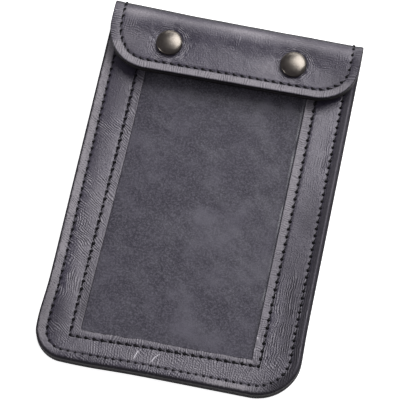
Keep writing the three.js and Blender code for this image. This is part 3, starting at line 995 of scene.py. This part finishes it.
def frame_grid():
    """Levels and columns of the frame with their places, shares and insets."""
    levels = frame_levels()
    stops = [(stretch, step / steps) for stretch, steps in RING_COLUMNS.items() for step in range(steps)]
    places = np.array([[ring_place(level, *stop) for stop in stops] for level in levels])
    x, height = drifted(levels[:, None], places[..., 0], places[..., 1])
    sideways = places[..., 2]
    side_inset, bottom_inset, _ = ring_insets(levels)
    inset = mix(bottom_inset[:, None], side_inset[:, None], sideways)
    return SimpleNamespace(
        levels=levels,
        x=x,
        height=height,
        sideways=sideways,
        lengthways=1 - sideways,
        sewn=1 - places[..., 3],
        inset=inset,
        from_outer=inset - mix(BOTTOM_SEAM, SIDE_SEAM, sideways),
        from_inner=inset - mix(INNER_BOTTOM_SEAM, INNER_SIDE_SEAM, sideways),
        from_window=mix(BOTTOM_BAND, SIDE_BAND, sideways) - inset,
    )


# Relief of the frame, as heights in millimetres with their spreads and ranges

# Seams of the frame: level, stitch length, depth of the groove and height of the puckers
FRAME_SEAMS = [(1, OUTER_PITCH, 0.45, 0.08), (2, INNER_PITCH, 0.4, 0.09)]
FRAME_GROOVE_SPREAD = 0.55
PUCKER_SPREAD = 2.0
FRAME_FLARE = 0.15
FRAME_FLARE_RANGE = (0.5, 4.2)
CROWN_SHIFT = 1.2
CROWN_HALF_WIDTH = 7.6
SIDE_CROWN = sides(0.58, 0.08)
BOTTOM_RAMP = 0.55
MARGIN_CURL = 0.3
MARGIN_RANGE = (0.4, 1.4)
WINDOW_EDGE_RANGE = (0.2, 1.0)
MARGIN_RIPPLES = [(0.08, 1.6, 4, 27)]
FRAME_WAVES = [(0.12, 11, 15, 25), (0.05, 4, 5, 26)]
# Creases: length, spacing and seed
LENGTHWISE_CREASES = (14, 1.9, 21)
LENGTHWISE_LEAN = 0.25
SLANTING_CREASES = (12, 2.6, 22)
UPRIGHT_CREASES = (8, 1.6, 23)
CREASE_HEIGHT = 0.06
CREASES_ON_MARGINS = 0.25
CREASE_PATCHES = [(1, 22, 22, 24)]
CREASE_PATCH_RANGE = (-0.35, 0.55)
BETWEEN_SEAMS = (0.2, 3)
LOW_CREASES = (14, 40)
BOTTOM_EDGE_DROP = 0.5
BOTTOM_EDGE_RANGE = (0, 2.4)


def run_lengths(x, height):
    """Lengths along a closed ring from its first point."""
    steps = np.hypot(np.diff(x, append=x[0]), np.diff(height, append=height[0]))
    return np.concatenate([[0], np.cumsum(steps)[:-1]])


def seam_relief(grid):
    """Grooves of the two seams, and the leather puckered between their stitches."""
    relief = np.zeros(grid.x.shape)
    for (level, pitch, depth, pucker), away in zip(FRAME_SEAMS, (grid.from_outer, grid.from_inner)):
        row = int(np.argmin(np.abs(grid.levels - level)))
        phase = math.tau * run_lengths(grid.x[row], grid.height[row]) / pitch
        relief += pucker * np.cos(phase) * bell(away, PUCKER_SPREAD) - depth * bell(away, FRAME_GROOVE_SPREAD)
    return relief


def band_crown(grid):
    """The bands' low crowns, and the slope of the bottom band down to its inner seam."""
    middle = (grid.from_outer + grid.from_inner) / 2
    crown = np.maximum(0, 1 - ((middle + CROWN_SHIFT) / CROWN_HALF_WIDTH) ** 2)
    across = np.clip(grid.from_outer / (INNER_BOTTOM_SEAM - BOTTOM_SEAM), 0, 1)
    return mix(BOTTOM_RAMP * (1 - across), crown * by_side(SIDE_CROWN, grid.x), grid.sideways)


def margin_relief(grid):
    """The curled and rippled margin round the window."""
    on_margin = smooth(grid.from_inner, *MARGIN_RANGE) * smooth(grid.from_window, *WINDOW_EDGE_RANGE)
    across = np.clip(grid.from_inner / (SIDE_BAND - INNER_SIDE_SEAM), 0, 1)
    curl = across * mix(-MARGIN_CURL, MARGIN_CURL * np.sign(grid.x), grid.sideways)
    return curl + on_margin * waves(MARGIN_RIPPLES, grid.x, grid.height)


def crease_relief(grid):
    """Broken creases, mostly between the seams."""
    x, height = grid.x, grid.height
    length, spacing, seed = LENGTHWISE_CREASES
    lengthwise = creases(height / length, (x + LENGTHWISE_LEAN * height) / spacing, seed)
    length, spacing, seed = SLANTING_CREASES
    slanting = creases((x + height) / length, (x - height) / spacing, seed)
    length, spacing, seed = UPRIGHT_CREASES
    upright = creases(height / length, x / spacing, seed)
    folds = mix((lengthwise + slanting) / 2, upright, 1 - smooth(height, *LOW_CREASES))
    patches = smooth(waves(CREASE_PATCHES, x, height), *CREASE_PATCH_RANGE)
    between = smooth(grid.from_outer, *BETWEEN_SEAMS) * smooth(-grid.from_inner, *BETWEEN_SEAMS)
    return CREASE_HEIGHT * folds * patches * np.maximum(between, CREASES_ON_MARGINS)


def frame_relief(grid):
    """Height of the frame's grain face over its plain form."""
    flare = FRAME_FLARE * smooth(-grid.from_outer, *FRAME_FLARE_RANGE)
    relief = grid.sewn * (seam_relief(grid) + flare + band_crown(grid) + margin_relief(grid))
    relief = relief + waves(FRAME_WAVES, grid.x, grid.height) + crease_relief(grid)
    relief = relief - edge_drop(np.minimum(grid.inset, grid.from_window))
    return relief - BOTTOM_EDGE_DROP * (1 - smooth(grid.inset, *BOTTOM_EDGE_RANGE)) * grid.lengthways


# Looks of the frame

# Wrinkled patches: direction, x, height, spread across, spread along and depth
WRINKLES = [
    ("slanting", -57, 134, 14, 6, 0.8),
    ("slanting", -57, 99, 14, 6, 1.2),
    ("slanting", -55, 86, 12, 5, 1.0),
    ("lengthwise", -60, 78, 6, 7, 0.8),
    ("slanting", -56, 72, 12, 8, 0.7),
    ("slanting", -56, 62, 14, 9, 1.2),
    ("lengthwise", -57, 44, 8, 12, 1.2),
    ("slanting", -60, 16, 8, 8, 0.6),
    ("lengthwise", 61, 138, 4, 18, 0.8),
    ("lengthwise", 59, 66, 7, 12, 0.8),
    ("lengthwise", 58, 48, 9, 16, 1.2),
    ("lengthwise", 57, 26, 12, 16, 1.2),
    ("slanting", 55, 12, 9, 9, 0.9),
    ("lengthwise", 20, 10, 30, 9, 0.7),
    ("lengthwise", -25, 10, 30, 9, 0.6),
    ("slanting", 10, 10, 40, 8, 0.55),
    ("level", 18, 9, 32, 6, 0.4),
]
# Darker patches, among them painted shade down the right band: x, height, spread across, spread along and
# depth
STAINS_AND_SHADE = [
    (-62, 22, 9, 14, 0.35),
    (-68, 26, 4, 20, 0.4),
    (-48, 34, 4, 18, 0.45),
    (-61, 160, 6, 40, 0.15),
    (-52, 153, 9, 12, 0.22),
    # Painted shade down the right band
    (57, 76, 10, 22, 0.37),
    (60, 60, 6, 55, 0.41),
    (60, 102, 8, 22, 0.39),
    # Darker patches at the bottom
    (62, 5, 14, 8, 0.5),
    (-40, 3, 22, 3, 0.3),
]
# Paler patches, likewise: wear, a painted sheen on the left band, and painted light where the flap's shadow
# falls on the right margin
WORN_AND_LIT_PATCHES = [
    # Painted sheen on the left band
    (-60, 110, 5, 44, 0.13),
    (-54, 90, 6, 14, 0.32),
    (-54, 125, 5, 7, 0.22),
    (-54, 52, 5, 22, 0.3),
    # The right margin paler, and painted light where the flap's shadow falls on its top
    (47, 118, 3, 44, 0.55),
    (47, 164, 3, 8, 0.55),
    # Paler patches low on the front
    (10, 9, 26, 6, 0.1),
    (-40, 17, 10, 2, 0.15),
    (42, 17, 16, 2, 0.2),
]
# Pale scratches across the bottom band: x at the middle, lean and bow
SCRATCHES = [(-15.5, 0.7, 0.1), (-5.6, 1.8, 0.6)]
SCRATCH_MIDDLE = 9.6
SCRATCH_HALF_LENGTH = 2.7
SCRATCH_SPREAD = 0.28
SCRATCH_END = (0.7, 1.1)
# Painted glints on the window's right edge: x, height and spread along
PAINTED_GLINTS = [(44.6, 24.6, 0.9), (44.9, 31.5, 0.7)]
GLINT_SPREAD = 0.5
GLINT_DEPTH = 0.8
# Zones: to the left, to the right, on the upright sides, and the low left part of the side band
LEFTWARD_RANGE = (-35, 55)
RIGHTWARD_RANGE = (20, 60)
UPRIGHT_RANGE = (0.7, 1.0)
LOW_LEFT_RANGES = ((40, 52), (90, 140))
# Painted shade in the seams' grooves, and darkening along the cut edges and at the foot of the window
FRAME_SEAM_SHADE = 0.45
RIM_DARKENING = 0.97
RIM_END_BOTTOM = 1.9
RIM_END_SIDE = sides(1.45, 1.15)
RIM_START_SHARE = 0.6
RIM_TURN_RANGE = (0.6, 1.0)
JAGS = [(0.25, 0.9, 0.9, 71)]
WINDOW_FOOT_DARKENING = 0.9
WINDOW_FOOT_RANGE = (0.15, 0.5)
WINDOW_FOOT_PATCHES = [(1, 5, 5, 75)]
WINDOW_FOOT_PATCH_RANGE = (-0.7, 0.0)
# Wear of the strip outside the outer seam, the margin, the window's edge and the bands
STRIP_MOTTLE = [(0.35, 1.5, 4, 72), (0.2, 3, 14, 73)]
STRIP_WEAR = 1.25
STRIP_WEAR_RANGE = (0.3, 0.9)
BOTTOM_STRIP_WEAR = 0.02
BOTTOM_STRIP_PATCH = (1.3, 34, 13)
MARGIN_WEAR = 0.26
RIGHT_MARGIN_WEAR = 0.2
WINDOW_EDGE_WEAR = 0.35
WINDOW_EDGE_SPREAD = 0.35
WINDOW_EDGE_LINES = (0.8, 0.35)
BOTTOM_BAND_WEAR = 0.2
BOTTOM_BAND_MOTTLE = [(0.15, 6, 4, 74)]
LOW_LEFT_WEAR = 0.14
LOW_LEFT_ACROSS = (2, 8)
PALE_LINE_INSET = 1.8
PALE_LINE_SPREAD = 0.35
PALE_LINE_WEAR = 0.25
# Stain of the strip at the right
CORNER_STAIN = 0.85
CORNER_STAIN_RANGE = (46, 62)
RIGHT_STAINS = (0.8, 0.7)
RIGHT_STAIN_RANGE = (90, 150)
PALE_LINE_SHARE = 0.6
# Wrinkles all over, on the strip and on the margin
LENGTHWISE_WRINKLES = (0.05, 0.4)
SLANTING_WRINKLES = (0.04, 0.35, 0.7)
LEVEL_WRINKLES = (0.35, 0.75)


def add_zones(grid):
    """Adds the shares of the frame's zones to its grid."""
    grid.on_strip = smooth(-grid.from_outer, *STRIP_RANGE)
    grid.on_margin = smooth(grid.from_inner, *STRIP_RANGE)
    grid.in_band = (1 - grid.on_strip) * (1 - grid.on_margin)
    grid.leftward = smooth(-grid.x, *LEFTWARD_RANGE)
    grid.rightward = smooth(grid.x, *RIGHTWARD_RANGE)
    upright = smooth(grid.sideways, *UPRIGHT_RANGE)
    grid.pale_line = grid.rightward * upright * bell(grid.inset - PALE_LINE_INSET, PALE_LINE_SPREAD)


# Painted shade in the seams' grooves; darker along the cut edges and at the foot of the window
def frame_shade_and_dark_edges(grid):
    x, height = grid.x, grid.height
    seams = np.maximum(bell(grid.from_outer, SEAM_SHADE_SPREAD), bell(grid.from_inner, SEAM_SHADE_SPREAD))
    jagged = waves(JAGS, x, height)
    rim_end = mix(RIM_END_BOTTOM, by_side(RIM_END_SIDE, x), smooth(grid.sideways, *RIM_TURN_RANGE))
    rim = RIM_DARKENING * (1 - smooth(grid.inset + jagged, RIM_START_SHARE * rim_end, rim_end))
    foot = (1 - smooth(grid.from_window + jagged, *WINDOW_FOOT_RANGE)) * grid.lengthways
    patches = smooth(waves(WINDOW_FOOT_PATCHES, x, height), *WINDOW_FOOT_PATCH_RANGE)
    return np.maximum(np.maximum(FRAME_SEAM_SHADE * seams, rim), WINDOW_FOOT_DARKENING * foot * patches)


def frame_wear_and_painted_light(grid):
    x, height = grid.x, grid.height
    patch_wear, patch_x, patch_spread = BOTTOM_STRIP_PATCH
    bottom = BOTTOM_STRIP_WEAR + patch_wear * bell(x - patch_x, patch_spread)
    strip = mix(bottom, grid.leftward, grid.sideways) * (STRIP_WEAR + waves(STRIP_MOTTLE, x, height))
    wear_and_painted_light = strip * grid.on_strip * smooth(grid.inset, *STRIP_WEAR_RANGE)
    wear_and_painted_light = wear_and_painted_light + grid.on_margin * (MARGIN_WEAR + RIGHT_MARGIN_WEAR * grid.rightward)
    edge_line = mix(*WINDOW_EDGE_LINES, grid.sideways)
    wear_and_painted_light = wear_and_painted_light + WINDOW_EDGE_WEAR * bell(grid.from_window - edge_line, WINDOW_EDGE_SPREAD)
    band = BOTTOM_BAND_WEAR + waves(BOTTOM_BAND_MOTTLE, x, height)
    leftmost, heights = LOW_LEFT_RANGES
    low_left = smooth(-x, *leftmost) * (1 - smooth(height, *heights))
    low_left = low_left * smooth(grid.from_outer, *LOW_LEFT_ACROSS)
    wear_and_painted_light = wear_and_painted_light + grid.in_band * mix(band, LOW_LEFT_WEAR * low_left, grid.sideways)
    # Plus paler patches, among them painted sheen and painted light
    return wear_and_painted_light + PALE_LINE_WEAR * grid.pale_line + (1 - grid.on_strip) * patch_depths(WORN_AND_LIT_PATCHES, x, height)


def frame_scratches_and_glints(grid):
    scratch_and_glint = np.zeros(grid.x.shape)
    along = (grid.height - SCRATCH_MIDDLE) / SCRATCH_HALF_LENGTH
    for middle_x, lean, bow in SCRATCHES:
        line = bell(grid.x - middle_x - lean * along - bow * along**2, SCRATCH_SPREAD)
        scratch_and_glint += line * (1 - smooth(np.abs(along), *SCRATCH_END)) * grid.lengthways
    # Painted glints at the window's right edge
    for place_x, place_height, spread in PAINTED_GLINTS:
        scratch_and_glint += GLINT_DEPTH * bell(grid.x - place_x, GLINT_SPREAD) * bell(grid.height - place_height, spread)
    return np.clip(scratch_and_glint, 0, 1)


def frame_stains_and_shade(grid):
    at_corner = CORNER_STAIN * smooth(grid.x, *CORNER_STAIN_RANGE)
    at_side = grid.rightward * mix(*RIGHT_STAINS, smooth(grid.height, *RIGHT_STAIN_RANGE))
    strip = mix(at_corner, at_side, grid.sideways) * grid.on_strip * (1 - PALE_LINE_SHARE * grid.pale_line)
    # The strip's stain, and darker patches that include painted shade
    return np.maximum(strip, patch_depths(STAINS_AND_SHADE, grid.x, grid.height))


def frame_wrinkles(grid):
    """Depths of the wrinkles along each direction."""
    overall, edges = LENGTHWISE_WRINKLES
    depths = {"lengthwise": overall + edges * (grid.on_strip + grid.on_margin) * grid.lengthways}
    overall, strip, margin = SLANTING_WRINKLES
    edges = strip * grid.on_strip + margin * grid.on_margin * grid.sideways
    depths["slanting"] = overall + edges * grid.leftward
    strip, margin = LEVEL_WRINKLES
    sided = strip * grid.on_strip * grid.leftward + margin * grid.on_margin * grid.rightward
    depths["level"] = sided * grid.sideways
    for kind, place_x, place_height, across, along, depth in WRINKLES:
        depths[kind] += depth * bell(grid.x - place_x, across) * bell(grid.height - place_height, along)
    return depths


def frame_layers(grid):
    """Point values for the leather of the frame."""
    add_zones(grid)
    return {
        "shade_and_dark_edges": frame_shade_and_dark_edges(grid),
        "wear_and_painted_light": frame_wear_and_painted_light(grid),
        "stain_and_shade": frame_stains_and_shade(grid),
        "scratch_and_glint": frame_scratches_and_glints(grid),
        **frame_wrinkles(grid),
    }


def make_front():
    grid = frame_grid()
    rows, columns = grid.x.shape
    x, y = front_surface(grid.x, grid.height, inward_share(grid.levels)[:, None])
    base = SEAT_Z + front_lift(grid.x, grid.height)
    top = np.stack([x, y, base + FRAME_THICKNESS + frame_relief(grid)], axis=-1)
    under_rows = np.linspace(0, rows - 1, UNDER_ROWS).round().astype(int)
    under = np.stack([x, y, base], axis=-1)[under_rows]
    count = rows * columns
    outer = np.arange(columns)
    inner = outer + (rows - 1) * columns
    inner_under = outer + count + (UNDER_ROWS - 1) * columns
    faces = [
        grid_quads(rows, columns, 0, ring=True),
        grid_quads(UNDER_ROWS, columns, count, flip=True, ring=True),
        rim_quads(outer, outer + count),
        rim_quads(inner_under, inner),
    ]
    kinds = np.repeat([0, 0, 1, 1], [len(quads) for quads in faces])
    blank = UNDER_ROWS * columns
    layers = {name: np.pad(values.ravel(), (0, blank)) for name, values in frame_layers(grid).items()}
    points = np.concatenate([top.reshape(-1, 3), under.reshape(-1, 3)])
    front = build_piece("window_frame", points, np.concatenate(faces), [LEATHER, EDGE], kinds, layers)
    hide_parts("front_frame")


# The film

FILM_ROWS = 90
FILM_COLUMNS = 200
FILM_LEAST_LIFT = 0.45
FILM_WAVES = [(0.12, 16, 20, 51)]
FILM_SINK = 0.05
FILM_FREE_ACROSS = (6, 14)
FILM_FREE_UP = (4, 12)
# Painted highlight: a pale line along the film's right edge, its place, spread, start and depth
FILM_HIGHLIGHT_X = 43.8
FILM_HIGHLIGHT_SPREAD = 0.4
FILM_HIGHLIGHT_START = (22, 40)
FILM_HIGHLIGHT_DEPTH = 0.6
FILM_HIGHLIGHT_PATCHES = [(0.6, 40, 8, 52)]


def make_film():
    reach = HALF_WIDTH - FILM_HIDDEN_SHARE * SIDE_BAND
    low = FILM_HIDDEN_SHARE * BOTTOM_BAND
    high = MOUTH_HEIGHT - TOP_BAND + FILM_TOP_TUCK
    heights = np.linspace(low, high, FILM_ROWS)
    height, x = np.meshgrid(heights, np.linspace(-reach, reach, FILM_COLUMNS), indexing="ij")
    free = smooth(reach - np.abs(x), *FILM_FREE_ACROSS) * smooth(height - low, *FILM_FREE_UP)
    ripple = (waves(FILM_WAVES, x, height) - FILM_SINK) * free
    y = unevenness(x, BOTTOM_Y + height)
    z = SEAT_Z - GAP + np.maximum(front_lift(x, height), FILM_LEAST_LIFT) + ripple
    under = np.stack([x, y, z - FILM_THICKNESS], axis=-1)
    points, quads, _ = sheet_mesh(under, np.stack([x, y, z], axis=-1))
    # Painted highlight along the right edge
    depth = FILM_HIGHLIGHT_DEPTH + waves(FILM_HIGHLIGHT_PATCHES, x, height)
    painted_highlight = bell(x - FILM_HIGHLIGHT_X, FILM_HIGHLIGHT_SPREAD) * smooth(height, *FILM_HIGHLIGHT_START) * depth
    layers = {"film_highlight": np.pad(np.maximum(painted_highlight, 0).ravel(), (x.size, 0))}
    film = build_piece("clear_window", points, quads, [FILM], layers=layers)
    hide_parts("window_film")


# Thread, whose stitches are each fat near their start and thin towards the next

THREAD_SIDES = 8
THREAD_STEPS = 13
STITCH_THIN = 0.3
STITCH_FAT_AT = 0.28
STITCH_FAT_SPREAD = 0.16
STITCH_START = 0.5
STITCH_END = 0.7
STITCH_ARCH = 0.45
STITCH_TRIM = 0.01
STITCH_SINK = -0.5
STITCH_RISE = 0.5
SEWN_STRETCHES = ["left", "left corner", "bottom", "right corner", "right"]
STRETCH_POINTS = 200
LEAST_STEP = 1e-4
OUTER_SEAM_DEPTH = 0.5
INNER_SEAM_DEPTH = 0.45
HIDE_PATH_STEP = 0.4
BACK_SEAM_DEPTH = 1.55
FLAP_SEAM_DEPTH = 0.55
SEAM_RISE_RANGE = (BACK_END - 4, BACK_END + 6)


def along_path(places, lengths, values):
    return np.stack([np.interp(places, lengths, values[:, axis]) for axis in range(3)], axis=-1)


def unit(vectors):
    return vectors / np.linalg.norm(vectors, axis=1, keepdims=True)


def stitch_tubes(path, normals, pitch, width, slant):
    """Points and faces of stitches along a path, each a tube that slants a little."""
    lengths = np.concatenate([[0], np.cumsum(np.linalg.norm(np.diff(path, axis=0), axis=1))])
    ends = np.linspace(0, lengths[-1], max(1, round(lengths[-1] / pitch)) + 1)
    shares = np.linspace(0, 1, THREAD_STEPS)
    radii = width * mix(STITCH_THIN, 1, bell(shares - STITCH_FAT_AT, STITCH_FAT_SPREAD))
    radii[0] *= STITCH_START
    radii[-1] *= STITCH_END
    rise = mix(STITCH_SINK, STITCH_RISE * width, np.sin(math.pi * shares) ** STITCH_ARCH)
    turns = np.arange(THREAD_SIDES) * math.tau / THREAD_SIDES
    tubes = []
    quads = []
    for start, end in zip(ends[:-1], ends[1:]):
        places = mix(start, end, mix(STITCH_TRIM, 1 - STITCH_TRIM, shares))
        centre = along_path(places, lengths, path)
        normal = unit(along_path(places, lengths, normals))
        across = np.cross(unit(np.gradient(centre, axis=0)), normal)
        centre = centre + normal * rise[:, None] + across * (slant * (shares - 0.5))[:, None]
        ring = np.cos(turns)[:, None] * across[:, None, :] + np.sin(turns)[:, None] * normal[:, None, :]
        quads.append(grid_quads(THREAD_STEPS, THREAD_SIDES, len(tubes) * ring.size // 3, ring=True))
        tubes.append(centre[:, None, :] + radii[:, None, None] * ring)
    return np.concatenate(tubes).reshape(-1, 3), np.concatenate(quads)


def ring_path(level, depth):
    """Points and normals along the sewn part of a ring of the frame, below its grain face."""
    runs = np.linspace(0, 1, STRETCH_POINTS)
    places = np.array([ring_place(level, name, run)[:2] for name in SEWN_STRETCHES for run in runs])
    keep = np.concatenate([[True], np.linalg.norm(np.diff(places, axis=0), axis=1) > LEAST_STEP])
    x, height = drifted(level, *places[keep].T)
    flared, y = front_surface(x, height, inward_share(level))
    z = SEAT_Z + FRAME_THICKNESS + front_lift(x, height) - depth
    points = np.stack([flared, y, z], axis=-1)
    return points, np.tile([0.0, 0.0, 1.0], (len(points), 1))


def hide_path():
    """Points and normals of the closed seam below the hide's grain face."""
    low = BOTTOM_SEAM
    high = HIDE_END - FLAP_END_SEAM
    up = np.arange(low, high, HIDE_PATH_STEP)
    right = HALF_WIDTH - hide_seam_inset(np.ones(up.shape), up)
    left = -HALF_WIDTH + hide_seam_inset(-np.ones(up.shape), up)
    along_flap = np.arange(right[-1], left[-1], -HIDE_PATH_STEP)
    along_bottom = np.arange(left[0], right[0], HIDE_PATH_STEP)
    x = np.concatenate([right, along_flap, left[::-1], along_bottom])
    flap_distances = np.full(along_flap.shape, high)
    bottom_distances = np.full(along_bottom.shape, low)
    distance = np.concatenate([up, flap_distances, up[::-1], bottom_distances])
    depth = mix(BACK_SEAM_DEPTH, FLAP_SEAM_DEPTH, smooth(distance, *SEAM_RISE_RANGE))
    surface = hide_point(x, distance, depth)[::-1]
    raised = hide_point(x, distance, depth - 1)[::-1]
    return surface, unit(raised - surface)


def make_stitches():
    # Each seam: path and normals, length, width and slant of its stitches
    seams = {
        "outer_stitches": (ring_path(1.0, OUTER_SEAM_DEPTH), OUTER_PITCH, 1.0, 0.8),
        "inner_stitches": (ring_path(2.0, INNER_SEAM_DEPTH), INNER_PITCH, 1.05, 0.8),
        "hide_stitches": (hide_path(), HIDE_PITCH, 0.88, 1.2),
    }
    for name, (path, pitch, width, slant) in seams.items():
        points, quads = stitch_tubes(*path, pitch, width, slant)
        thread = build_piece(name, points, quads, [THREAD])


# Press studs

LATHE_SIDES = 96
ROLL_STEPS = 6
CROWN_STEPS = 24
AXIS_RADIUS = 0.01
RIM_TOP = CAP_SEAT + CAP_RIM_HEIGHT
RIM_SHADE_HEIGHT = 0.95


def lathe(profile):
    """A closed solid turned about Z from rows of radius and height, the first and last on the axis."""
    turns = np.arange(LATHE_SIDES) * math.tau / LATHE_SIDES
    radius, height = np.array(profile).T
    x = radius[:, None] * np.cos(turns)
    y = radius[:, None] * np.sin(turns)
    z = height[:, None] * np.ones(LATHE_SIDES)
    return np.stack([x, y, z], axis=-1).reshape(-1, 3), grid_quads(len(profile), LATHE_SIDES, ring=True)


def cap_profile():
    socket_top = -LAYERS_THICKNESS - GAP
    socket_foot = socket_top - SOCKET_THICKNESS
    roll_radius = CAP_RADIUS - CAP_ROLL
    roll_height = CAP_SEAT + CAP_ROLL
    rows = [
        (AXIS_RADIUS, -SOCKET_BORE_TOP),
        (SOCKET_BORE_RADIUS, -SOCKET_BORE_TOP),
        (SOCKET_BORE_RADIUS, socket_foot),
        (SOCKET_RADIUS, socket_foot),
        (SOCKET_RADIUS, socket_top),
        (POST_RADIUS, socket_top),
        (POST_RADIUS, CAP_SEAT),
    ]
    for turn in np.linspace(-math.pi / 2, 0, ROLL_STEPS + 1):
        rows.append((roll_radius + CAP_ROLL * math.cos(turn), roll_height + CAP_ROLL * math.sin(turn)))
    for turn in np.linspace(0, math.pi / 2, CROWN_STEPS + 1):
        rows.append((max(AXIS_RADIUS, CAP_RADIUS * math.cos(turn)), RIM_TOP + CAP_CROWN * math.sin(turn)))
    return rows


def make_caps():
    points, quads = lathe(cap_profile())
    # Painted shade: a share that darkens the rolled rim, fading out just above its top
    rim = 1 - smooth(points[:, 2], RIM_TOP, RIM_TOP + RIM_SHADE_HEIGHT)
    for side, name in SIDE_NAMES.items():
        y, z, heading = (float(value) for value in profile_at(SNAP_DISTANCE[side]))
        tilt = heading - math.pi
        turned = points.copy()
        turned[:, 1] = points[:, 1] * math.cos(tilt) - points[:, 2] * math.sin(tilt)
        turned[:, 2] = points[:, 1] * math.sin(tilt) + points[:, 2] * math.cos(tilt)
        place = np.array([SNAP_X[side], y, z])
        cap = build_piece(f"domed_cap_{name}", turned + place, quads, [METAL], layers={"rim": rim})
        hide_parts(f"snap_cap_{name}")


def finish_studs():
    """The studs keep their solids and take the metal."""
    for side in SIDE_NAMES.values():
        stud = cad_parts[f"snap_stud_{side}"]
        stud.data.materials.clear()
        stud.data.materials.append(METAL)


# Camera, floor and light

CAMERA_AZIMUTH = 11.638
CAMERA_ELEVATION = 67.954
CAMERA_DISTANCE = 1358.2
FOCAL_PIXELS = 2501.07
IMAGE_SIDE = 400
SENSOR_WIDTH = 36.0
ORIGIN_SHIFT = (1.69, 2.07)
FLOOR_HALF = 3000.0
FLOOR_Z = -0.05
WORLD_COLOUR = (0.98, 0.94, 1.06, 1)
WORLD_STRENGTH = 0.175
LIGHT_DISTANCE = 1.7
# Lights: name, azimuth, elevation, width and height in metres, watts and whether reflections show it
LIGHTS = [
    ("key", 148, 55, 1.2, 1.1, 27, True),
    ("back", 180, 28, 1.2, 0.4, 5, True),
    ("front", 0, 75, 1.0, 1.0, 4, False),
    ("glint", -58, 13, 0.3, 0.2, 4, True),
]


def add_facing(name, data, azimuth, elevation, distance):
    """Adds an object that faces the origin, with azimuth 0 at the viewer's side and turning to the right."""
    around = math.radians(azimuth)
    above = math.radians(elevation)
    flat = math.cos(above)
    outward = Vector((math.sin(around) * flat, -math.cos(around) * flat, math.sin(above)))
    added = bpy.data.objects.new(name, data)
    added.location = outward * distance
    added.rotation_euler = (-outward).to_track_quat("-Z", "Y").to_euler()
    bpy.context.scene.collection.objects.link(added)
    return added


def make_camera():
    data = bpy.data.cameras.new("photo_camera")
    data.sensor_width = SENSOR_WIDTH
    data.lens = FOCAL_PIXELS / IMAGE_SIDE * SENSOR_WIDTH
    data.shift_x = -ORIGIN_SHIFT[0] / IMAGE_SIDE
    data.shift_y = ORIGIN_SHIFT[1] / IMAGE_SIDE
    place = (CAMERA_AZIMUTH, CAMERA_ELEVATION, CAMERA_DISTANCE * MM)
    bpy.context.scene.camera = add_facing("photo_camera", data, *place)


def make_floor():
    corners = [(-1, -1), (1, -1), (1, 1), (-1, 1)]
    points = [Vector((FLOOR_HALF * x, FLOOR_HALF * y, FLOOR_Z)) * MM for x, y in corners]
    mesh = bpy.data.meshes.new("floor")
    mesh.from_pydata(points, [], [(0, 1, 2, 3)])
    mesh.materials.append(floor_material())
    floor = bpy.data.objects.new("floor", mesh)
    bpy.context.scene.collection.objects.link(floor)


def make_studio():
    world = bpy.data.worlds.new("studio")
    world.use_nodes = True
    background = world.node_tree.nodes["Background"]
    background.inputs["Color"].default_value = WORLD_COLOUR
    background.inputs["Strength"].default_value = WORLD_STRENGTH
    bpy.context.scene.world = world
    for name, azimuth, elevation, width, height, power, glossy in LIGHTS:
        data = bpy.data.lights.new(name, "AREA")
        data.shape = "RECTANGLE"
        data.size = width
        data.size_y = height
        data.energy = power
        light = add_facing(name, data, azimuth, elevation, LIGHT_DISTANCE)
        light.visible_glossy = glossy
    bpy.context.scene.view_settings.view_transform = "Standard"


make_camera()
make_floor()
make_studio()
make_hide()
make_lining()
make_front()
make_film()
make_stitches()
make_caps()
finish_studs()
